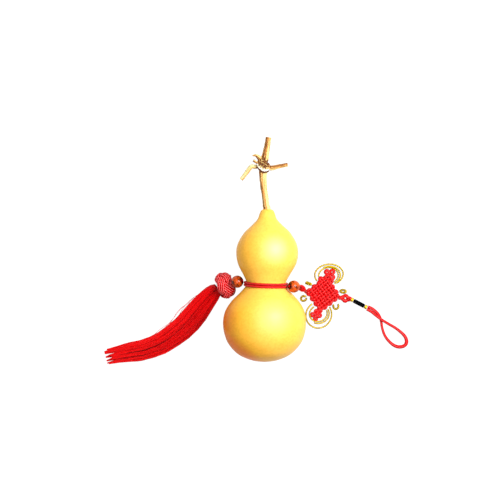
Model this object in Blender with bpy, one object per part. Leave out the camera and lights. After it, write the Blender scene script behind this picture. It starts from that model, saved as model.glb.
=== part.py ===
"""A dried double-bulbed bottle gourd with its stem, laid on its side, with a knotted red cord
ornament tied round its waist: two wooden beads, a ball knot with a tassel on one side, and
an endless knot with gold thread, a sleeve and a strap loop on the other.

Every length below is in millimetres. The origin is the small flat that the large bulb rests on,
+Z is up, +Y runs towards the stem and +X towards the strap loop.
"""

import math
import random

import bmesh
import bpy
from mathutils import Matrix, Vector
from mathutils.geometry import interpolate_bezier

MM = 0.001
GAP = 0.3  # kept between pieces that touch

# Gourd: (distance from the blossom end, radius) along its own axis
GOURD_PROFILE = (
    (0.0, 0.0),
    (1.1, 8.2),
    (5.0, 17.2),
    (11.8, 23.8),
    (19.0, 26.8),
    (26.5, 27.5),
    (34.0, 26.2),
    (40.5, 22.2),
    (46.5, 16.7),
    (51.8, 13.0),
    (57.0, 14.9),
    (64.5, 19.1),
    (71.8, 20.6),
    (79.0, 19.4),
    (86.0, 15.2),
    (91.2, 9.8),
    (95.0, 6.4),
    (99.0, 5.0),
    (101.2, 3.5),
    (101.8, 0.0),
)
GOURD_SIDES = 38
GOURD_RINGS = 35
BULB_SPLIT = 51.8  # along the axis, between the two bulbs
LARGE_BULB_AT = 26.5
AXIS_LEAN = 1.8  # sideways shift of the upper half against the lower one
LEAN_LENGTH = 45.0
REST_FLAT_DEPTH = 0.3  # how much of each bulb's underside is flat

# Stem, in the gourd's own frame: (sideways, along the axis, outwards), and radii
STALK_PATH = (
    (1.7, 102.2, 0.0),
    (0.7, 108.0, 0.3),
    (-0.5, 116.0, 0.4),
    (-1.0, 124.0, 0.1),
    (-0.7, 131.0, 0.0),
)
STALK_RADII = (2.1, 1.9, 2.0, 2.3, 2.9)
STALK_RIBS = 5
VINE_PATH = ((-0.9, 130.2, 0.0), (0.3, 135.5, 0.3), (1.5, 142.0, 0.6), (2.7, 149.3, 0.4))
VINE_RADII = (2.7, 2.4, 1.8, 1.7)
NODE_PATH = ((-4.2, 133.6, -0.2), (-2.2, 131.6, 0.4), (0.6, 130.0, 0.6), (3.2, 129.8, 0.2))
NODE_RADII = (2.0, 3.3, 3.3, 2.1)
COLLAR_PATH = ((-5.0, 132.4, 1.4), (-3.3, 129.4, 2.7), (-0.2, 127.6, 3.0), (2.9, 128.2, 2.0))
COLLAR_RADII = (0.7, 0.9, 0.9, 0.7)
RIGHT_TWIG_PATH = ((1.6, 129.2, 0.2), (5.2, 128.9, 0.4), (10.0, 130.1, 0.9), (15.3, 131.1, 1.6))
RIGHT_TWIG_RADII = (1.7, 1.4, 1.2, 1.15)
LEFT_TWIG_PATH = (
    (-2.6, 130.6, -0.8),
    (-6.0, 129.6, -0.9),
    (-8.8, 129.7, -0.8),
    (-11.6, 126.2, -1.4),
    (-15.4, 121.1, -2.2),
)
LEFT_TWIG_RADII = (1.5, 1.2, 1.25, 1.25, 1.2)
HORN_PATH = ((-1.8, 133.2, 0.8), (-3.6, 135.6, 1.6), (-5.6, 137.2, 2.0), (-8.0, 137.1, 2.2))
HORN_RADII = (1.9, 1.3, 0.95, 0.5)
STUB_PATH = ((-3.0, 131.4, 1.0), (-5.4, 132.6, 2.2), (-7.3, 133.9, 3.0))
STUB_RADII = (1.2, 0.8, 0.85)

# Cord round the waist
CORD_DIAMETER = 1.3
WAIST_TURNS_AT = (50.9, 52.5)  # the two turns' places along the axis
WAIST_TURN_DIP = 0.6  # how far each turn shifts towards the large bulb on top
WAIST_TURN_ROLL = 0.5  # and on its right side, against its left
WAIST_TURN_POINTS = 36
WAIST_STAND_OFF = 0.45  # between the skin and the cord, where the skin is straight

# Beads and the cord that holds each one to the waist
BEAD_RADIUS = 4.1
BEAD_BORE_RADIUS = 1.45
BEAD_SIDES = 18
BEAD_RINGS = 11
LEFT_BEAD_CENTRE = (-18.1, 26.0, 19.9)
LEFT_BEAD_AXIS = (-0.85, -0.3, -0.43)
RIGHT_BEAD_CENTRE = (19.4, 24.9, 31.9)
RIGHT_BEAD_AXIS = (0.82, -0.16, -0.55)
LINK_DIAMETER = 1.0
LINK_SPREAD = 0.62  # half the distance between the link's two legs
LINK_REACH = 4.6  # from a bead's middle to the ends of the legs beyond it
LINK_BEND = 4.2  # and to the bend on the waist's side
LINK_BEND_ROOM = 1.0  # from the bend to where the legs run straight
LINK_SPACING = 1.2  # between the points of its path

# Ball knot: a three-lead, four-bight woven band of parallel cords on an oblate core
BALL_CENTRE = (-26.0, 21.7, 9.0)
BALL_AXIS = (-0.8, -0.3, 0.02)
BALL_PHASE = math.radians(48)  # turn of the weave about the cord
BALL_RADIUS_ACROSS = 7.8
BALL_RADIUS_ALONG = 6.4
BALL_LEADS = 3
BALL_BIGHTS = 4
BALL_LATITUDE = math.radians(34)
BAND_HALF_WIDTH = 2.9
BAND_THICKNESS = 2.8
BAND_LIFT = 0.7
BAND_CORDS = 4
BAND_STATIONS = 48
BAND_VALLEY = 0.35  # depth of the grooves between the band's cords
BAND_RIDGE = 0.3  # and height of the cords
CORE_INSETS = (0.9, 0.5)  # of the core behind the band, across and along

# Tassel: (x, y, half width, half thickness, height of its middle) from the knot to the tip
TASSEL_STATIONS = (
    (-32.6, 17.8, 4.6, 3.0, 5.6),
    (-33.8, 16.7, 5.5, 4.0, 5.6),
    (-36.4, 13.9, 6.2, 3.7, 5.0),
    (-41.6, 7.4, 7.4, 3.4, 3.6),
    (-46.9, 0.2, 8.2, 3.0, 3.0),
    (-53.0, -7.2, 8.1, 2.9, 2.9),
    (-60.8, -13.4, 7.7, 2.8, 2.8),
    (-69.4, -19.2, 7.4, 2.7, 2.7),
    (-80.2, -23.4, 7.0, 2.6, 2.6),
    (-89.7, -25.0, 7.0, 2.4, 2.4),
    (-97.3, -26.8, 6.4, 2.0, 2.0),
)
TASSEL_TIP = (-106.0, -28.9)
TASSEL_RIDGES = 21
TASSEL_RIDGE_DEPTH = 0.16  # share of the half width
TASSEL_RINGS = 14
TASSEL_ENDS = 10
TASSEL_END_HALF_WIDTH = 6.0
TUFT_ROOT = (5.0, 1.1)  # how far inside the last station a tuft starts, along and across
TUFT_RADII = (1.3, 1.15, 0.55)
TUFT_HEIGHTS = (0.9, 1.4)  # of the tips, by turns
TUFT_ROOT_HEIGHT = 1.5
TUFT_STRAY = 0.5  # sideways, either way
TUFT_LENGTHS = (-2.6, 0.4)  # shortest and longest, against the tip
TUFT_MIDDLE = (0.55, 0.3)  # share of the way to the tip, and rise above it
TUFT_SPACING = 4.5
TASSEL_SEED = 4

# Endless knot: a woven rhombus given by its half diagonals, on a plane that slopes to the floor
KNOT_CENTRE = (39.2, 14.8, 4.4)
KNOT_SLOPE = math.radians(14)
KNOT_HALF_ALONG = (11.9, -2.1)
KNOT_HALF_ACROSS = (2.0, 12.2)
KNOT_CORDS = 8
WEAVE_HEIGHTS = (0.15, 0.55, 1.6)  # half thickness at a cell's corners, along its sides, and on its cord
WEAVE_CORD_HALF = (0.46, 0.72)  # how much of a cell its cord's flat top takes, across and along
WEAVE_SIDE_HALF = 0.6  # and how much of a cell's side lies low
EAR_RADIUS = 0.94
EAR_START = 0.88  # where an ear leaves its cords, as a share of the half side
EAR_REACH = 0.12  # and how much further it reaches
EAR_PIECES = 4
TOP_CLOVER = ((4.3, 13.0), math.radians(45), 1.0)  # centre, turn and scale
BOTTOM_CLOVER = ((-5.0, -14.0), math.radians(-8), 0.8)
SHOULDERS = ((-1.7, 10.2), (5.2, 8.4))  # the two wider loops on either side of the top corner
SHOULDER_RADIUS = 1.05
CLOVER_LOBE_OFFSET = 2.4
CLOVER_LOBE_RADIUS = 1.15
CLOVER_CORD_RADIUS = 1.0
CLOVER_LOBES = 4
CLOVER_RING_POINTS = 8
CLOVER_RING_LIFT = 0.25  # how far a lobe's cord rises and dips
NECK_ROOT = 0.88  # where a neck leaves the weave, as a share of the half diagonal
NECK_SPREAD = 0.9  # half the distance between the two cords that run to a clover
NECK_THINNING = 0.9

# Small knots before and after the endless knot
LINK_KNOT_PATH = ((23.6, 23.8, 28.3), (24.3, 22.6, 24.0), (25.5, 20.9, 19.0), (26.4, 19.8, 16.0))
LINK_KNOT_RADII = (1.3, 2.2, 2.2, 1.2)
LINK_TAIL_END = (28.1, 16.9, 9.8)
EYE_KNOT_CENTRE = (54.0, 11.4, 1.55)
EYE_KNOT_LEAN = math.radians(-8)
EYE_KNOT_HALF_LENGTH = 2.05
EYE_KNOT_HALF_WIDTH = 1.95
EYE_KNOT_CORD_RADIUS = 1.2
EYE_TAIL_RADIUS = 1.1
EYE_RING_POINTS = 14
EYE_RING_LIFT = 0.3  # how far its cord rises and dips

# Gold thread: arcs (centre x, y, radius x, y, start, end in degrees, lift) in the knot's plane
GOLD_RADIUS = 0.42
GOLD_ARCS = {
    "gold_arc_top_outer": (3.9, 13.0, 9.8, 7.1, -50, 206, 0.0),
    "gold_arc_top_middle": (3.6, 12.4, 7.9, 6.4, -54, 112, 0.95),
    "gold_arc_top_inner": (3.5, 12.3, 6.8, 5.6, -48, 178, 0.0),
    "gold_arc_bottom_outer": (-3.1, -14.0, 8.9, 8.9, 127, 388, 0.0),
    "gold_arc_bottom_middle": (-3.4, -13.1, 7.2, 6.5, 250, 380, 0.95),
    "gold_arc_bottom_inner": (-3.4, -13.1, 6.1, 5.4, 126, 376, 0.0),
}
GOLD_CURLS = {
    "gold_curl_left_upper": (-10.5, 7.9),
    "gold_curl_left_lower": (-13.6, -2.4),
    "gold_curl_right_upper": (13.9, 1.4),
    "gold_curl_right_lower": (8.9, -9.0),
}
GOLD_ARC_STEP = 16  # degrees to a piece of an arc
GOLD_CURL_RADIUS = 1.35
GOLD_CURL_SWEEP = math.radians(300)
GOLD_CURL_PIECES = 12
GOLD_CURL_RISE = 0.6  # between a curl's two ends

# Sleeve, its two gold bands, and the strap loop
SLEEVE_START = (59.5, 9.8)
SLEEVE_END = (66.5, 6.1)
SLEEVE_RADIUS = 1.4
BAND_LENGTH = 1.8
BAND_RADIUS = 1.5
BAND_EDGE = 0.25  # rounding of a band's rims
STRAP_DIAMETER = 1.6
STRAP_ROUTE = (
    (69.1, 5.6, 0.82),
    (71.9, 4.3, 0.82),
    (75.0, 1.7, 0.82),
    (77.0, -1.2, 0.82),
    (77.9, -4.6, 0.82),
    (78.5, -8.4, 0.82),
    (79.8, -12.7, 0.82),
    (81.8, -16.2, 0.82),
    (84.7, -19.3, 0.82),
    (87.8, -21.2, 0.82),
    (90.9, -21.6, 0.82),
    (93.7, -20.6, 0.82),
    (94.9, -18.4, 0.82),
    (94.3, -15.5, 0.82),
    (92.2, -12.7, 0.82),
    (88.0, -9.2, 0.9),
    (83.2, -6.2, 1.5),
    (79.4, -3.7, 2.5),
    (76.8, -1.9, 2.72),
    (74.3, 0.0, 2.3),
    (71.6, 2.1, 1.3),
    (68.35, 3.9, 0.82),
)
STRAP_POINT_SPACING = 3.2

RED_CORD = (0.72, 0.012, 0.016, 1.0)
KNOT_RED = (0.62, 0.012, 0.024, 1.0)
GOLD = (0.83, 0.56, 0.13, 1.0)
GOURD_YELLOW = (0.93, 0.63, 0.16, 1.0)
STEM_BROWN = (0.55, 0.33, 0.13, 1.0)
BEAD_BROWN = (0.36, 0.07, 0.02, 1.0)
SLEEVE_BLACK = (0.008, 0.008, 0.01, 1.0)


def clear_scene():
    for obj in list(bpy.data.objects):
        bpy.data.objects.remove(obj, do_unlink=True)


def material(name, colour, roughness, metallic=0.0):
    """A Principled material, made once and shared after that."""
    found = bpy.data.materials.get(name)
    if found:
        return found
    made = bpy.data.materials.new(name)
    made.use_nodes = True
    shader = made.node_tree.nodes["Principled BSDF"]
    shader.inputs["Base Color"].default_value = colour
    shader.inputs["Roughness"].default_value = roughness
    shader.inputs["Metallic"].default_value = metallic
    return made


def cord_material():
    return material("red_cord", RED_CORD, 0.55)


def smooth_path(points, spacing, cyclic=False):
    """Points about spacing apart on a smooth curve that passes through the given ones."""
    points = [Vector(p) for p in points]
    count = len(points)
    fine = []
    for i in range(count if cyclic else count - 1):
        start, end = points[i], points[(i + 1) % count]
        before = points[i - 1] if cyclic or i > 0 else start
        after = points[(i + 2) % count] if cyclic or i + 2 < count else end
        handles = (start + (end - before) / 6, end - (after - start) / 6)
        fine += interpolate_bezier(start, *handles, end, 17)[:-1]
    fine.append(points[0] if cyclic else points[-1])
    lengths = [0.0]
    for a, b in zip(fine, fine[1:]):
        lengths.append(lengths[-1] + (b - a).length)
    steps = max(3, round(lengths[-1] / spacing))
    path, at = [], 0
    for k in range(steps + 1):
        wanted = lengths[-1] * k / steps
        while at < len(fine) - 2 and lengths[at + 1] < wanted:
            at += 1
        span = max(lengths[at + 1] - lengths[at], 1e-9)
        path.append(fine[at].lerp(fine[at + 1], (wanted - lengths[at]) / span))
    return path[:-1] if cyclic else path


def between(values, share):
    """The value a share of the way along an evenly spaced list."""
    at = min(max(share, 0.0), 1.0) * (len(values) - 1)
    low = min(int(at), len(values) - 2)
    return values[low] + (values[low + 1] - values[low]) * (at - low)


def finish_object(name, mesh, look, smooth_angle=40):
    """Adds a mesh made in millimetres to the scene as a named object in metres."""
    mesh.transform(Matrix.Scale(MM, 4))
    mesh.name = name
    mesh.materials.clear()
    mesh.materials.append(look)
    mesh.shade_smooth()
    mesh.set_sharp_from_angle(angle=math.radians(smooth_angle))
    obj = bpy.data.objects.new(name, mesh)
    bpy.context.scene.collection.objects.link(obj)
    return obj


def mesh_of(bm):
    """A mesh from a bmesh whose faces are made to point outwards."""
    bmesh.ops.recalc_face_normals(bm, faces=bm.faces)
    mesh = bpy.data.meshes.new("shape")
    bm.to_mesh(mesh)
    bm.free()
    return mesh


def loft(rings, closed=False):
    """A closed skin over rings of points, with flat caps, or joined end to end if closed."""
    bm = bmesh.new()
    loops = [[bm.verts.new(p) for p in ring] for ring in rings]
    pairs = list(zip(loops, loops[1:]))
    if closed:
        pairs.append((loops[-1], loops[0]))
    for low, high in pairs:
        for i in range(len(low)):
            j = (i + 1) % len(low)
            bm.faces.new((low[i], low[j], high[j], high[i]))
    if not closed:
        for cap in (loops[0], loops[-1]):
            middle = bm.verts.new(sum((v.co for v in cap), Vector()) / len(cap))
            for i in range(len(cap)):
                bm.faces.new((cap[i], cap[(i + 1) % len(cap)], middle))
    return mesh_of(bm)


def directions(path, closed=False):
    """The direction of travel at each point of a path."""
    last = len(path) - 1
    found = []
    for i in range(len(path)):
        ahead = path[(i + 1) % len(path)] if closed or i < last else path[i]
        behind = path[i - 1] if closed or i > 0 else path[i]
        found.append((ahead - behind).normalized())
    return found


def ring_round(centre, direction, radius, sides, up=Vector((0, 0, 1)), ribs=0, rib_depth=0.0):
    """Points round a centre, across a direction, ribbed if asked."""
    across = direction.cross(up).normalized()
    over = across.cross(direction).normalized()
    points = []
    for k in range(sides):
        turn = math.tau * k / sides
        reach = radius * (1 + rib_depth * math.cos(ribs * turn))
        points.append(centre + across * math.cos(turn) * reach + over * math.sin(turn) * reach)
    return points


def tube(path, radii, sides, closed=False, ribs=0, rib_depth=0.0):
    """A tube along a path, with a radius or a list of radii spread along it."""
    radii = radii if isinstance(radii, (tuple, list)) else (radii, radii)
    rings = []
    travel = directions(path, closed)
    steep = max(abs(direction.z) for direction in travel) > 0.8
    up = Vector((0, 1, 0)) if steep else Vector((0, 0, 1))
    for i, (point, direction) in enumerate(zip(path, travel)):
        radius = between(radii, i / max(len(path) - 1, 1))
        rings.append(ring_round(point, direction, radius, sides, up, ribs, rib_depth))
    return loft(rings, closed)


def outer_skin(mesh):
    """Drops every shell of a mesh but the largest, so that pockets between its parts are filled."""
    bm = bmesh.new()
    bm.from_mesh(mesh)
    left, shells = set(bm.faces), []
    while left:
        shell, front = set(), [left.pop()]
        while front:
            face = front.pop()
            shell.add(face)
            beside = {other for edge in face.edges for other in edge.link_faces} & left
            left -= beside
            front += beside
        shells.append(shell)
    shells.sort(key=len)
    inner = [face for shell in shells[:-1] for face in shell]
    bmesh.ops.delete(bm, geom=inner, context="FACES")
    bm.to_mesh(mesh)
    bm.free()


def joined(name, meshes, look, self_crossing=False, smooth_angle=62):
    """One body from overlapping closed meshes, by a Boolean union on a collection."""
    helpers = bpy.data.collections.new(name + "_parts")
    bpy.context.scene.collection.children.link(helpers)
    for mesh in meshes[1:]:
        mesh.transform(Matrix.Scale(MM, 4))
        helpers.objects.link(bpy.data.objects.new(name + "_part", mesh))
    obj = finish_object(name, meshes[0], look, smooth_angle)
    union = obj.modifiers.new("union", "BOOLEAN")
    union.operation = "UNION"
    union.operand_type = "COLLECTION"
    union.collection = helpers
    union.solver = "EXACT"
    union.use_self = self_crossing
    bpy.context.view_layer.update()
    graph = bpy.context.evaluated_depsgraph_get()
    whole = bpy.data.meshes.new_from_object(obj.evaluated_get(graph))
    obj.modifiers.clear()
    obj.data = whole
    outer_skin(whole)
    whole.materials.clear()
    whole.materials.append(look)
    whole.shade_smooth()
    whole.set_sharp_from_angle(angle=math.radians(smooth_angle))
    for helper in list(helpers.objects):
        bpy.data.objects.remove(helper, do_unlink=True)
    bpy.data.collections.remove(helpers)
    return obj


def profile_points():
    """The gourd's outline as evenly spaced (distance along, radius) points."""
    length = sum(math.dist(a, b) for a, b in zip(GOURD_PROFILE, GOURD_PROFILE[1:]))
    outline = smooth_path([(along, radius, 0) for along, radius in GOURD_PROFILE], length / GOURD_RINGS)
    return [(p.x, max(p.y, 0.0)) for p in outline]


def rest_tilt():
    """How far the axis drops towards the stem when both bulbs touch the floor."""
    outline = profile_points()
    low, high = 0.0, 0.5
    for _ in range(40):
        slope = (low + high) / 2
        large = max(r + slope * s for s, r in outline if s < BULB_SPLIT)
        small = max(r + slope * s for s, r in outline if s > BULB_SPLIT)
        if large > small:
            low = slope
        else:
            high = slope
    return math.atan(slope)


def axis_shift(along):
    """Sideways shift of the gourd's axis, a smooth step from the lower bulb to the upper one."""
    share = min(max((along - LARGE_BULB_AT) / LEAN_LENGTH, 0.0), 1.0)
    return AXIS_LEAN * share * share * (3 - 2 * share)


def laid_down():
    """The matrix from the gourd's own frame (sideways, along, outwards) to the floor's."""
    tilt = rest_tilt()
    outline = profile_points()
    drop = max(r + math.tan(tilt) * s for s, r in outline if s < BULB_SPLIT)
    height = drop * math.cos(tilt) - REST_FLAT_DEPTH
    turn = Matrix.Rotation(-tilt, 4, "X")
    bulb = turn @ Vector((0, LARGE_BULB_AT, 0))
    return Matrix.Translation((0, -bulb.y, height)) @ turn


def make_gourd(lay):
    """The gourd itself: its outline turned about its axis, leaned, laid down and flattened where it rests."""
    bm = bmesh.new()
    outline = profile_points()
    edge_points = [bm.verts.new((r, s, 0)) for s, r in outline]
    edges = [bm.edges.new(pair) for pair in zip(edge_points, edge_points[1:])]
    bmesh.ops.spin(
        bm,
        geom=edge_points + edges,
        cent=(0, 0, 0),
        axis=(0, 1, 0),
        angle=math.tau,
        steps=GOURD_SIDES,
        use_merge=True,
    )
    bmesh.ops.remove_doubles(bm, verts=bm.verts, dist=0.01)
    for vert in bm.verts:
        vert.co.x += axis_shift(vert.co.y)
    bmesh.ops.transform(bm, matrix=lay, verts=bm.verts)
    cut = bmesh.ops.bisect_plane(
        bm,
        geom=bm.verts[:] + bm.edges[:] + bm.faces[:],
        plane_co=(0, 0, 0),
        plane_no=(0, 0, -1),
        clear_outer=True,
    )
    rim = [e for e in cut["geom_cut"] if isinstance(e, bmesh.types.BMEdge)]
    bmesh.ops.holes_fill(bm, edges=rim)
    return finish_object("gourd", mesh_of(bm), material("gourd_skin", GOURD_YELLOW, 0.35))


def stem_piece(points, radii, lay, sides=7, spacing=2.4, ribs=0, rib_depth=0.0):
    return tube([lay @ p for p in smooth_path(points, spacing)], radii, sides, ribs=ribs, rib_depth=rib_depth)


def make_stem(lay):
    """The dried stalk, the joint where it grew from the vine, the cut vine and its broken twigs."""
    pieces = [
        stem_piece(STALK_PATH, STALK_RADII, lay, sides=10, spacing=3.0, ribs=STALK_RIBS, rib_depth=0.1),
        stem_piece(VINE_PATH, VINE_RADII, lay, sides=10, ribs=STALK_RIBS, rib_depth=0.08),
        stem_piece(NODE_PATH, NODE_RADII, lay, sides=9, spacing=1.8),
        stem_piece(COLLAR_PATH, COLLAR_RADII, lay, sides=6, spacing=1.5),
        stem_piece(RIGHT_TWIG_PATH, RIGHT_TWIG_RADII, lay),
        stem_piece(LEFT_TWIG_PATH, LEFT_TWIG_RADII, lay),
        stem_piece(HORN_PATH, HORN_RADII, lay, spacing=1.6),
        stem_piece(STUB_PATH, STUB_RADII, lay, sides=6, spacing=1.4),
    ]
    return joined("stem", pieces, material("dried_stem", STEM_BROWN, 0.8))


def gourd_radius(along):
    outline = profile_points()
    for (s0, r0), (s1, r1) in zip(outline, outline[1:]):
        if s0 <= along <= s1:
            return r0 + (r1 - r0) * (along - s0) / max(s1 - s0, 1e-9)
    return 0.0


def waist_turn(lay, along):
    """The centreline of one turn of cord round the waist, dipping towards the large bulb on top."""
    path = []
    for k in range(WAIST_TURN_POINTS):
        turn = math.tau * k / WAIST_TURN_POINTS
        here = along - WAIST_TURN_DIP * max(math.sin(turn), 0.0) - WAIST_TURN_ROLL * math.cos(turn)
        reach = gourd_radius(here) + CORD_DIAMETER / 2 + WAIST_STAND_OFF
        point = Vector((axis_shift(here) + reach * math.cos(turn), here, reach * math.sin(turn)))
        path.append(lay @ point)
    return path


def make_waist_cord(lay):
    """Two turns of red cord, side by side in the gourd's waist."""
    made = []
    for number, along in enumerate(WAIST_TURNS_AT, 1):
        mesh = tube(waist_turn(lay, along), CORD_DIAMETER / 2, 5, closed=True)
        made.append(finish_object(f"waist_cord_{number}", mesh, cord_material(), 75))
    return made


def make_bead(name, centre, axis):
    """A turned wooden bead with a bore for the cord."""
    bm = bmesh.new()
    half = math.sqrt(BEAD_RADIUS**2 - BEAD_BORE_RADIUS**2)
    start = math.atan2(BEAD_BORE_RADIUS, half)
    outline = [(BEAD_BORE_RADIUS, -half), (BEAD_BORE_RADIUS, half)]
    for k in range(1, BEAD_RINGS):
        turn = start + (math.pi - 2 * start) * k / BEAD_RINGS
        outline.append((BEAD_RADIUS * math.sin(turn), BEAD_RADIUS * math.cos(turn)))
    verts = [bm.verts.new((x, 0, z)) for x, z in outline]
    edges = [bm.edges.new((verts[i], verts[(i + 1) % len(verts)])) for i in range(len(verts))]
    bmesh.ops.spin(
        bm,
        geom=verts + edges,
        cent=(0, 0, 0),
        axis=(0, 0, 1),
        angle=math.tau,
        steps=BEAD_SIDES,
        use_merge=True,
    )
    bmesh.ops.remove_doubles(bm, verts=bm.verts, dist=0.01)
    turn = Vector(axis).normalized().to_track_quat("Z", "Y").to_matrix().to_4x4()
    bmesh.ops.transform(bm, matrix=Matrix.Translation(centre) @ turn, verts=bm.verts)
    return finish_object(name, mesh_of(bm), material("bead_wood", BEAD_BROWN, 0.25))


def make_link(name, bead_centre, bead_axis):
    """The short doubled cord that runs through a bead, with its bend at the waist cord."""
    centre, axis = Vector(bead_centre), Vector(bead_axis).normalized()
    apart = (Vector((0, 1, 0)) - axis * axis.y).normalized() * LINK_SPREAD
    leg = [centre + axis * reach for reach in (LINK_REACH, 0.0, LINK_BEND_ROOM - LINK_BEND)]
    path = [p + apart for p in leg] + [centre - axis * LINK_BEND] + [p - apart for p in reversed(leg)]
    mesh = tube(smooth_path(path, LINK_SPACING), LINK_DIAMETER / 2, 6)
    return finish_object(name, mesh, cord_material(), 70)


def ball_frame():
    """The matrix from the ball knot's own frame, whose Z runs along the cord, to the floor's."""
    axis = Vector(BALL_AXIS).normalized()
    side = Vector((0, 1, 0)).cross(axis).normalized()
    frame = Matrix((side, axis.cross(side), axis)).transposed().to_4x4()
    frame.translation = BALL_CENTRE
    return frame


def ball_point(turn, sideways, lift):
    """A point of the woven band: turn along its path, sideways across it, lift above the core."""

    def on_sphere(t):
        around = BALL_PHASE - BALL_LEADS * t
        latitude = BALL_LATITUDE * math.sin(BALL_BIGHTS * t)
        flat = math.cos(latitude)
        return Vector((flat * math.cos(around), flat * math.sin(around), math.sin(latitude)))

    here = on_sphere(turn)
    ahead = (on_sphere(turn + 0.01) - on_sphere(turn - 0.01)).normalized()
    across = here.cross(ahead).normalized()
    direction = (here + across * sideways / BALL_RADIUS_ACROSS).normalized()
    radius = lift + BAND_LIFT * math.sin(2 * BALL_BIGHTS * turn)
    return Vector(
        (
            direction.x * (BALL_RADIUS_ACROSS + radius),
            direction.y * (BALL_RADIUS_ACROSS + radius),
            direction.z * (BALL_RADIUS_ALONG + radius),
        )
    )


def band_section(turn):
    """A cross-section of the band: a flat back, and a ridge for each parallel cord."""
    pitch = 2 * BAND_HALF_WIDTH / BAND_CORDS
    section = [(-BAND_HALF_WIDTH, -BAND_THICKNESS)]
    for k in range(BAND_CORDS):
        left = -BAND_HALF_WIDTH + k * pitch
        section += [(left, -BAND_VALLEY), (left + pitch / 2, BAND_RIDGE)]
    section += [(BAND_HALF_WIDTH, -BAND_VALLEY), (BAND_HALF_WIDTH, -BAND_THICKNESS)]
    return [ball_point(turn, sideways, lift) for sideways, lift in section]


def make_ball_knot():
    """The ball knot: an oblate core with a ridged band woven over and under itself."""
    frame = ball_frame()
    bm = bmesh.new()
    bmesh.ops.create_icosphere(bm, subdivisions=2, radius=1.0)
    across, along = BALL_RADIUS_ACROSS - CORE_INSETS[0], BALL_RADIUS_ALONG - CORE_INSETS[1]
    squash = Matrix.Diagonal((across, across, along, 1))
    bmesh.ops.transform(bm, matrix=frame @ squash, verts=bm.verts)
    pieces = [mesh_of(bm)]
    turns = [math.tau * k / BAND_STATIONS for k in range(BAND_STATIONS)]
    pieces.append(loft([[frame @ p for p in band_section(turn)] for turn in turns], closed=True))
    return joined("ball_knot", pieces, material("knot_satin", KNOT_RED, 0.4), self_crossing=True)


def tassel_ring(share, ridge_depth):
    """A ridged, flattened cross-section of the tassel a share of the way along it."""
    values = [between([Vector(s[:3]) for s in TASSEL_STATIONS], share + step) for step in (-0.02, 0.02)]
    forward = (values[1] - values[0]).xy.normalized()
    x, y = (between([s[k] for s in TASSEL_STATIONS], share) for k in (0, 1))
    half_width, half_thick, height = (between([s[k] for s in TASSEL_STATIONS], share) for k in (2, 3, 4))
    across = Vector((-forward.y, forward.x, 0))
    ring = []
    for k in range(2 * TASSEL_RIDGES):
        turn = math.tau * k / (2 * TASSEL_RIDGES)
        reach = 1 - ridge_depth * (k % 2)
        side = across * half_width * reach * math.cos(turn)
        up = half_thick * reach * math.sin(turn)
        ring.append(Vector((x, y, max(height + up, 0.0))) + side)
    return ring


def make_tassel():
    """The tassel: a ridged bundle of threads that flattens on the floor and ends in uneven tufts."""
    rings = []
    for k in range(TASSEL_RINGS):
        share = k / (TASSEL_RINGS - 1)
        rings.append(tassel_ring(share, TASSEL_RIDGE_DEPTH * min(1.0, 0.3 + 2 * share)))
    pieces = [loft(rings)]
    draw = random.Random(TASSEL_SEED)
    last = TASSEL_STATIONS[-1]
    before = TASSEL_STATIONS[-2]
    forward = (Vector(last[:2]) - Vector(before[:2])).normalized()
    across = Vector((-forward.y, forward.x))
    for k in range(TASSEL_ENDS):
        side = 2 * k / (TASSEL_ENDS - 1) - 1
        root = Vector(last[:2]) - forward * TUFT_ROOT[0] + across * side * (last[2] - TUFT_ROOT[1])
        aside = side * TASSEL_END_HALF_WIDTH + draw.uniform(-TUFT_STRAY, TUFT_STRAY)
        tip = Vector(TASSEL_TIP) + across * aside
        tip += forward * draw.uniform(*TUFT_LENGTHS)
        low = TUFT_HEIGHTS[k % 2]
        middle = (*root.lerp(tip, TUFT_MIDDLE[0]), low + TUFT_MIDDLE[1])
        path = smooth_path(((*root, TUFT_ROOT_HEIGHT), middle, (*tip, low)), TUFT_SPACING)
        pieces.append(tube(path, TUFT_RADII, 6))
    tassel = joined("tassel", pieces, material("tassel_thread", RED_CORD, 0.5))
    for vert in tassel.data.vertices:
        vert.co.z = max(vert.co.z, 0.0)
    return tassel


def knot_place(x, y, lift=0.0):
    """A point of the endless knot's sloping plane, lift above it, on the floor's frame."""
    slope = Matrix.Rotation(KNOT_SLOPE, 3, "Y")
    return Vector(KNOT_CENTRE) + slope @ Vector((x, y, lift))


def weave_point(u, v, lift):
    """A point of the weave from its two slanting coordinates, each from -1 to 1."""
    along, across = Vector(KNOT_HALF_ALONG), Vector(KNOT_HALF_ACROSS)
    flat = along * (u + v) / 2 + across * (u - v) / 2
    return knot_place(flat.x, flat.y, lift)


def weave_height(column, row, under):
    """Half thickness and in-cell place of a point of the weave's grid, three grid steps to a cell."""
    inside_u, inside_v = column % 3, row % 3
    if not inside_u or not inside_v:
        return WEAVE_HEIGHTS[0 if inside_u == inside_v else 1], WEAVE_SIDE_HALF, WEAVE_SIDE_HALF
    along_u = (column // 3 + row // 3 + under) % 2
    across, along = WEAVE_CORD_HALF
    return WEAVE_HEIGHTS[2], along if along_u else across, across if along_u else along


def weave_grid_point(column, row, under):
    """A point of the weave's upper or under skin, on the floor's frame."""
    height, share_u, share_v = weave_height(column, row, under)
    cell = 2 / KNOT_CORDS
    place = []
    for step, share in ((column, share_u), (row, share_v)):
        inside = (0, -share, share)[step % 3]
        middle = (step // 3 + (0.5 if step % 3 else 0.0)) * cell
        place.append(-1 + middle + inside * cell / 2)
    return weave_point(*place, -height if under else height)


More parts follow.
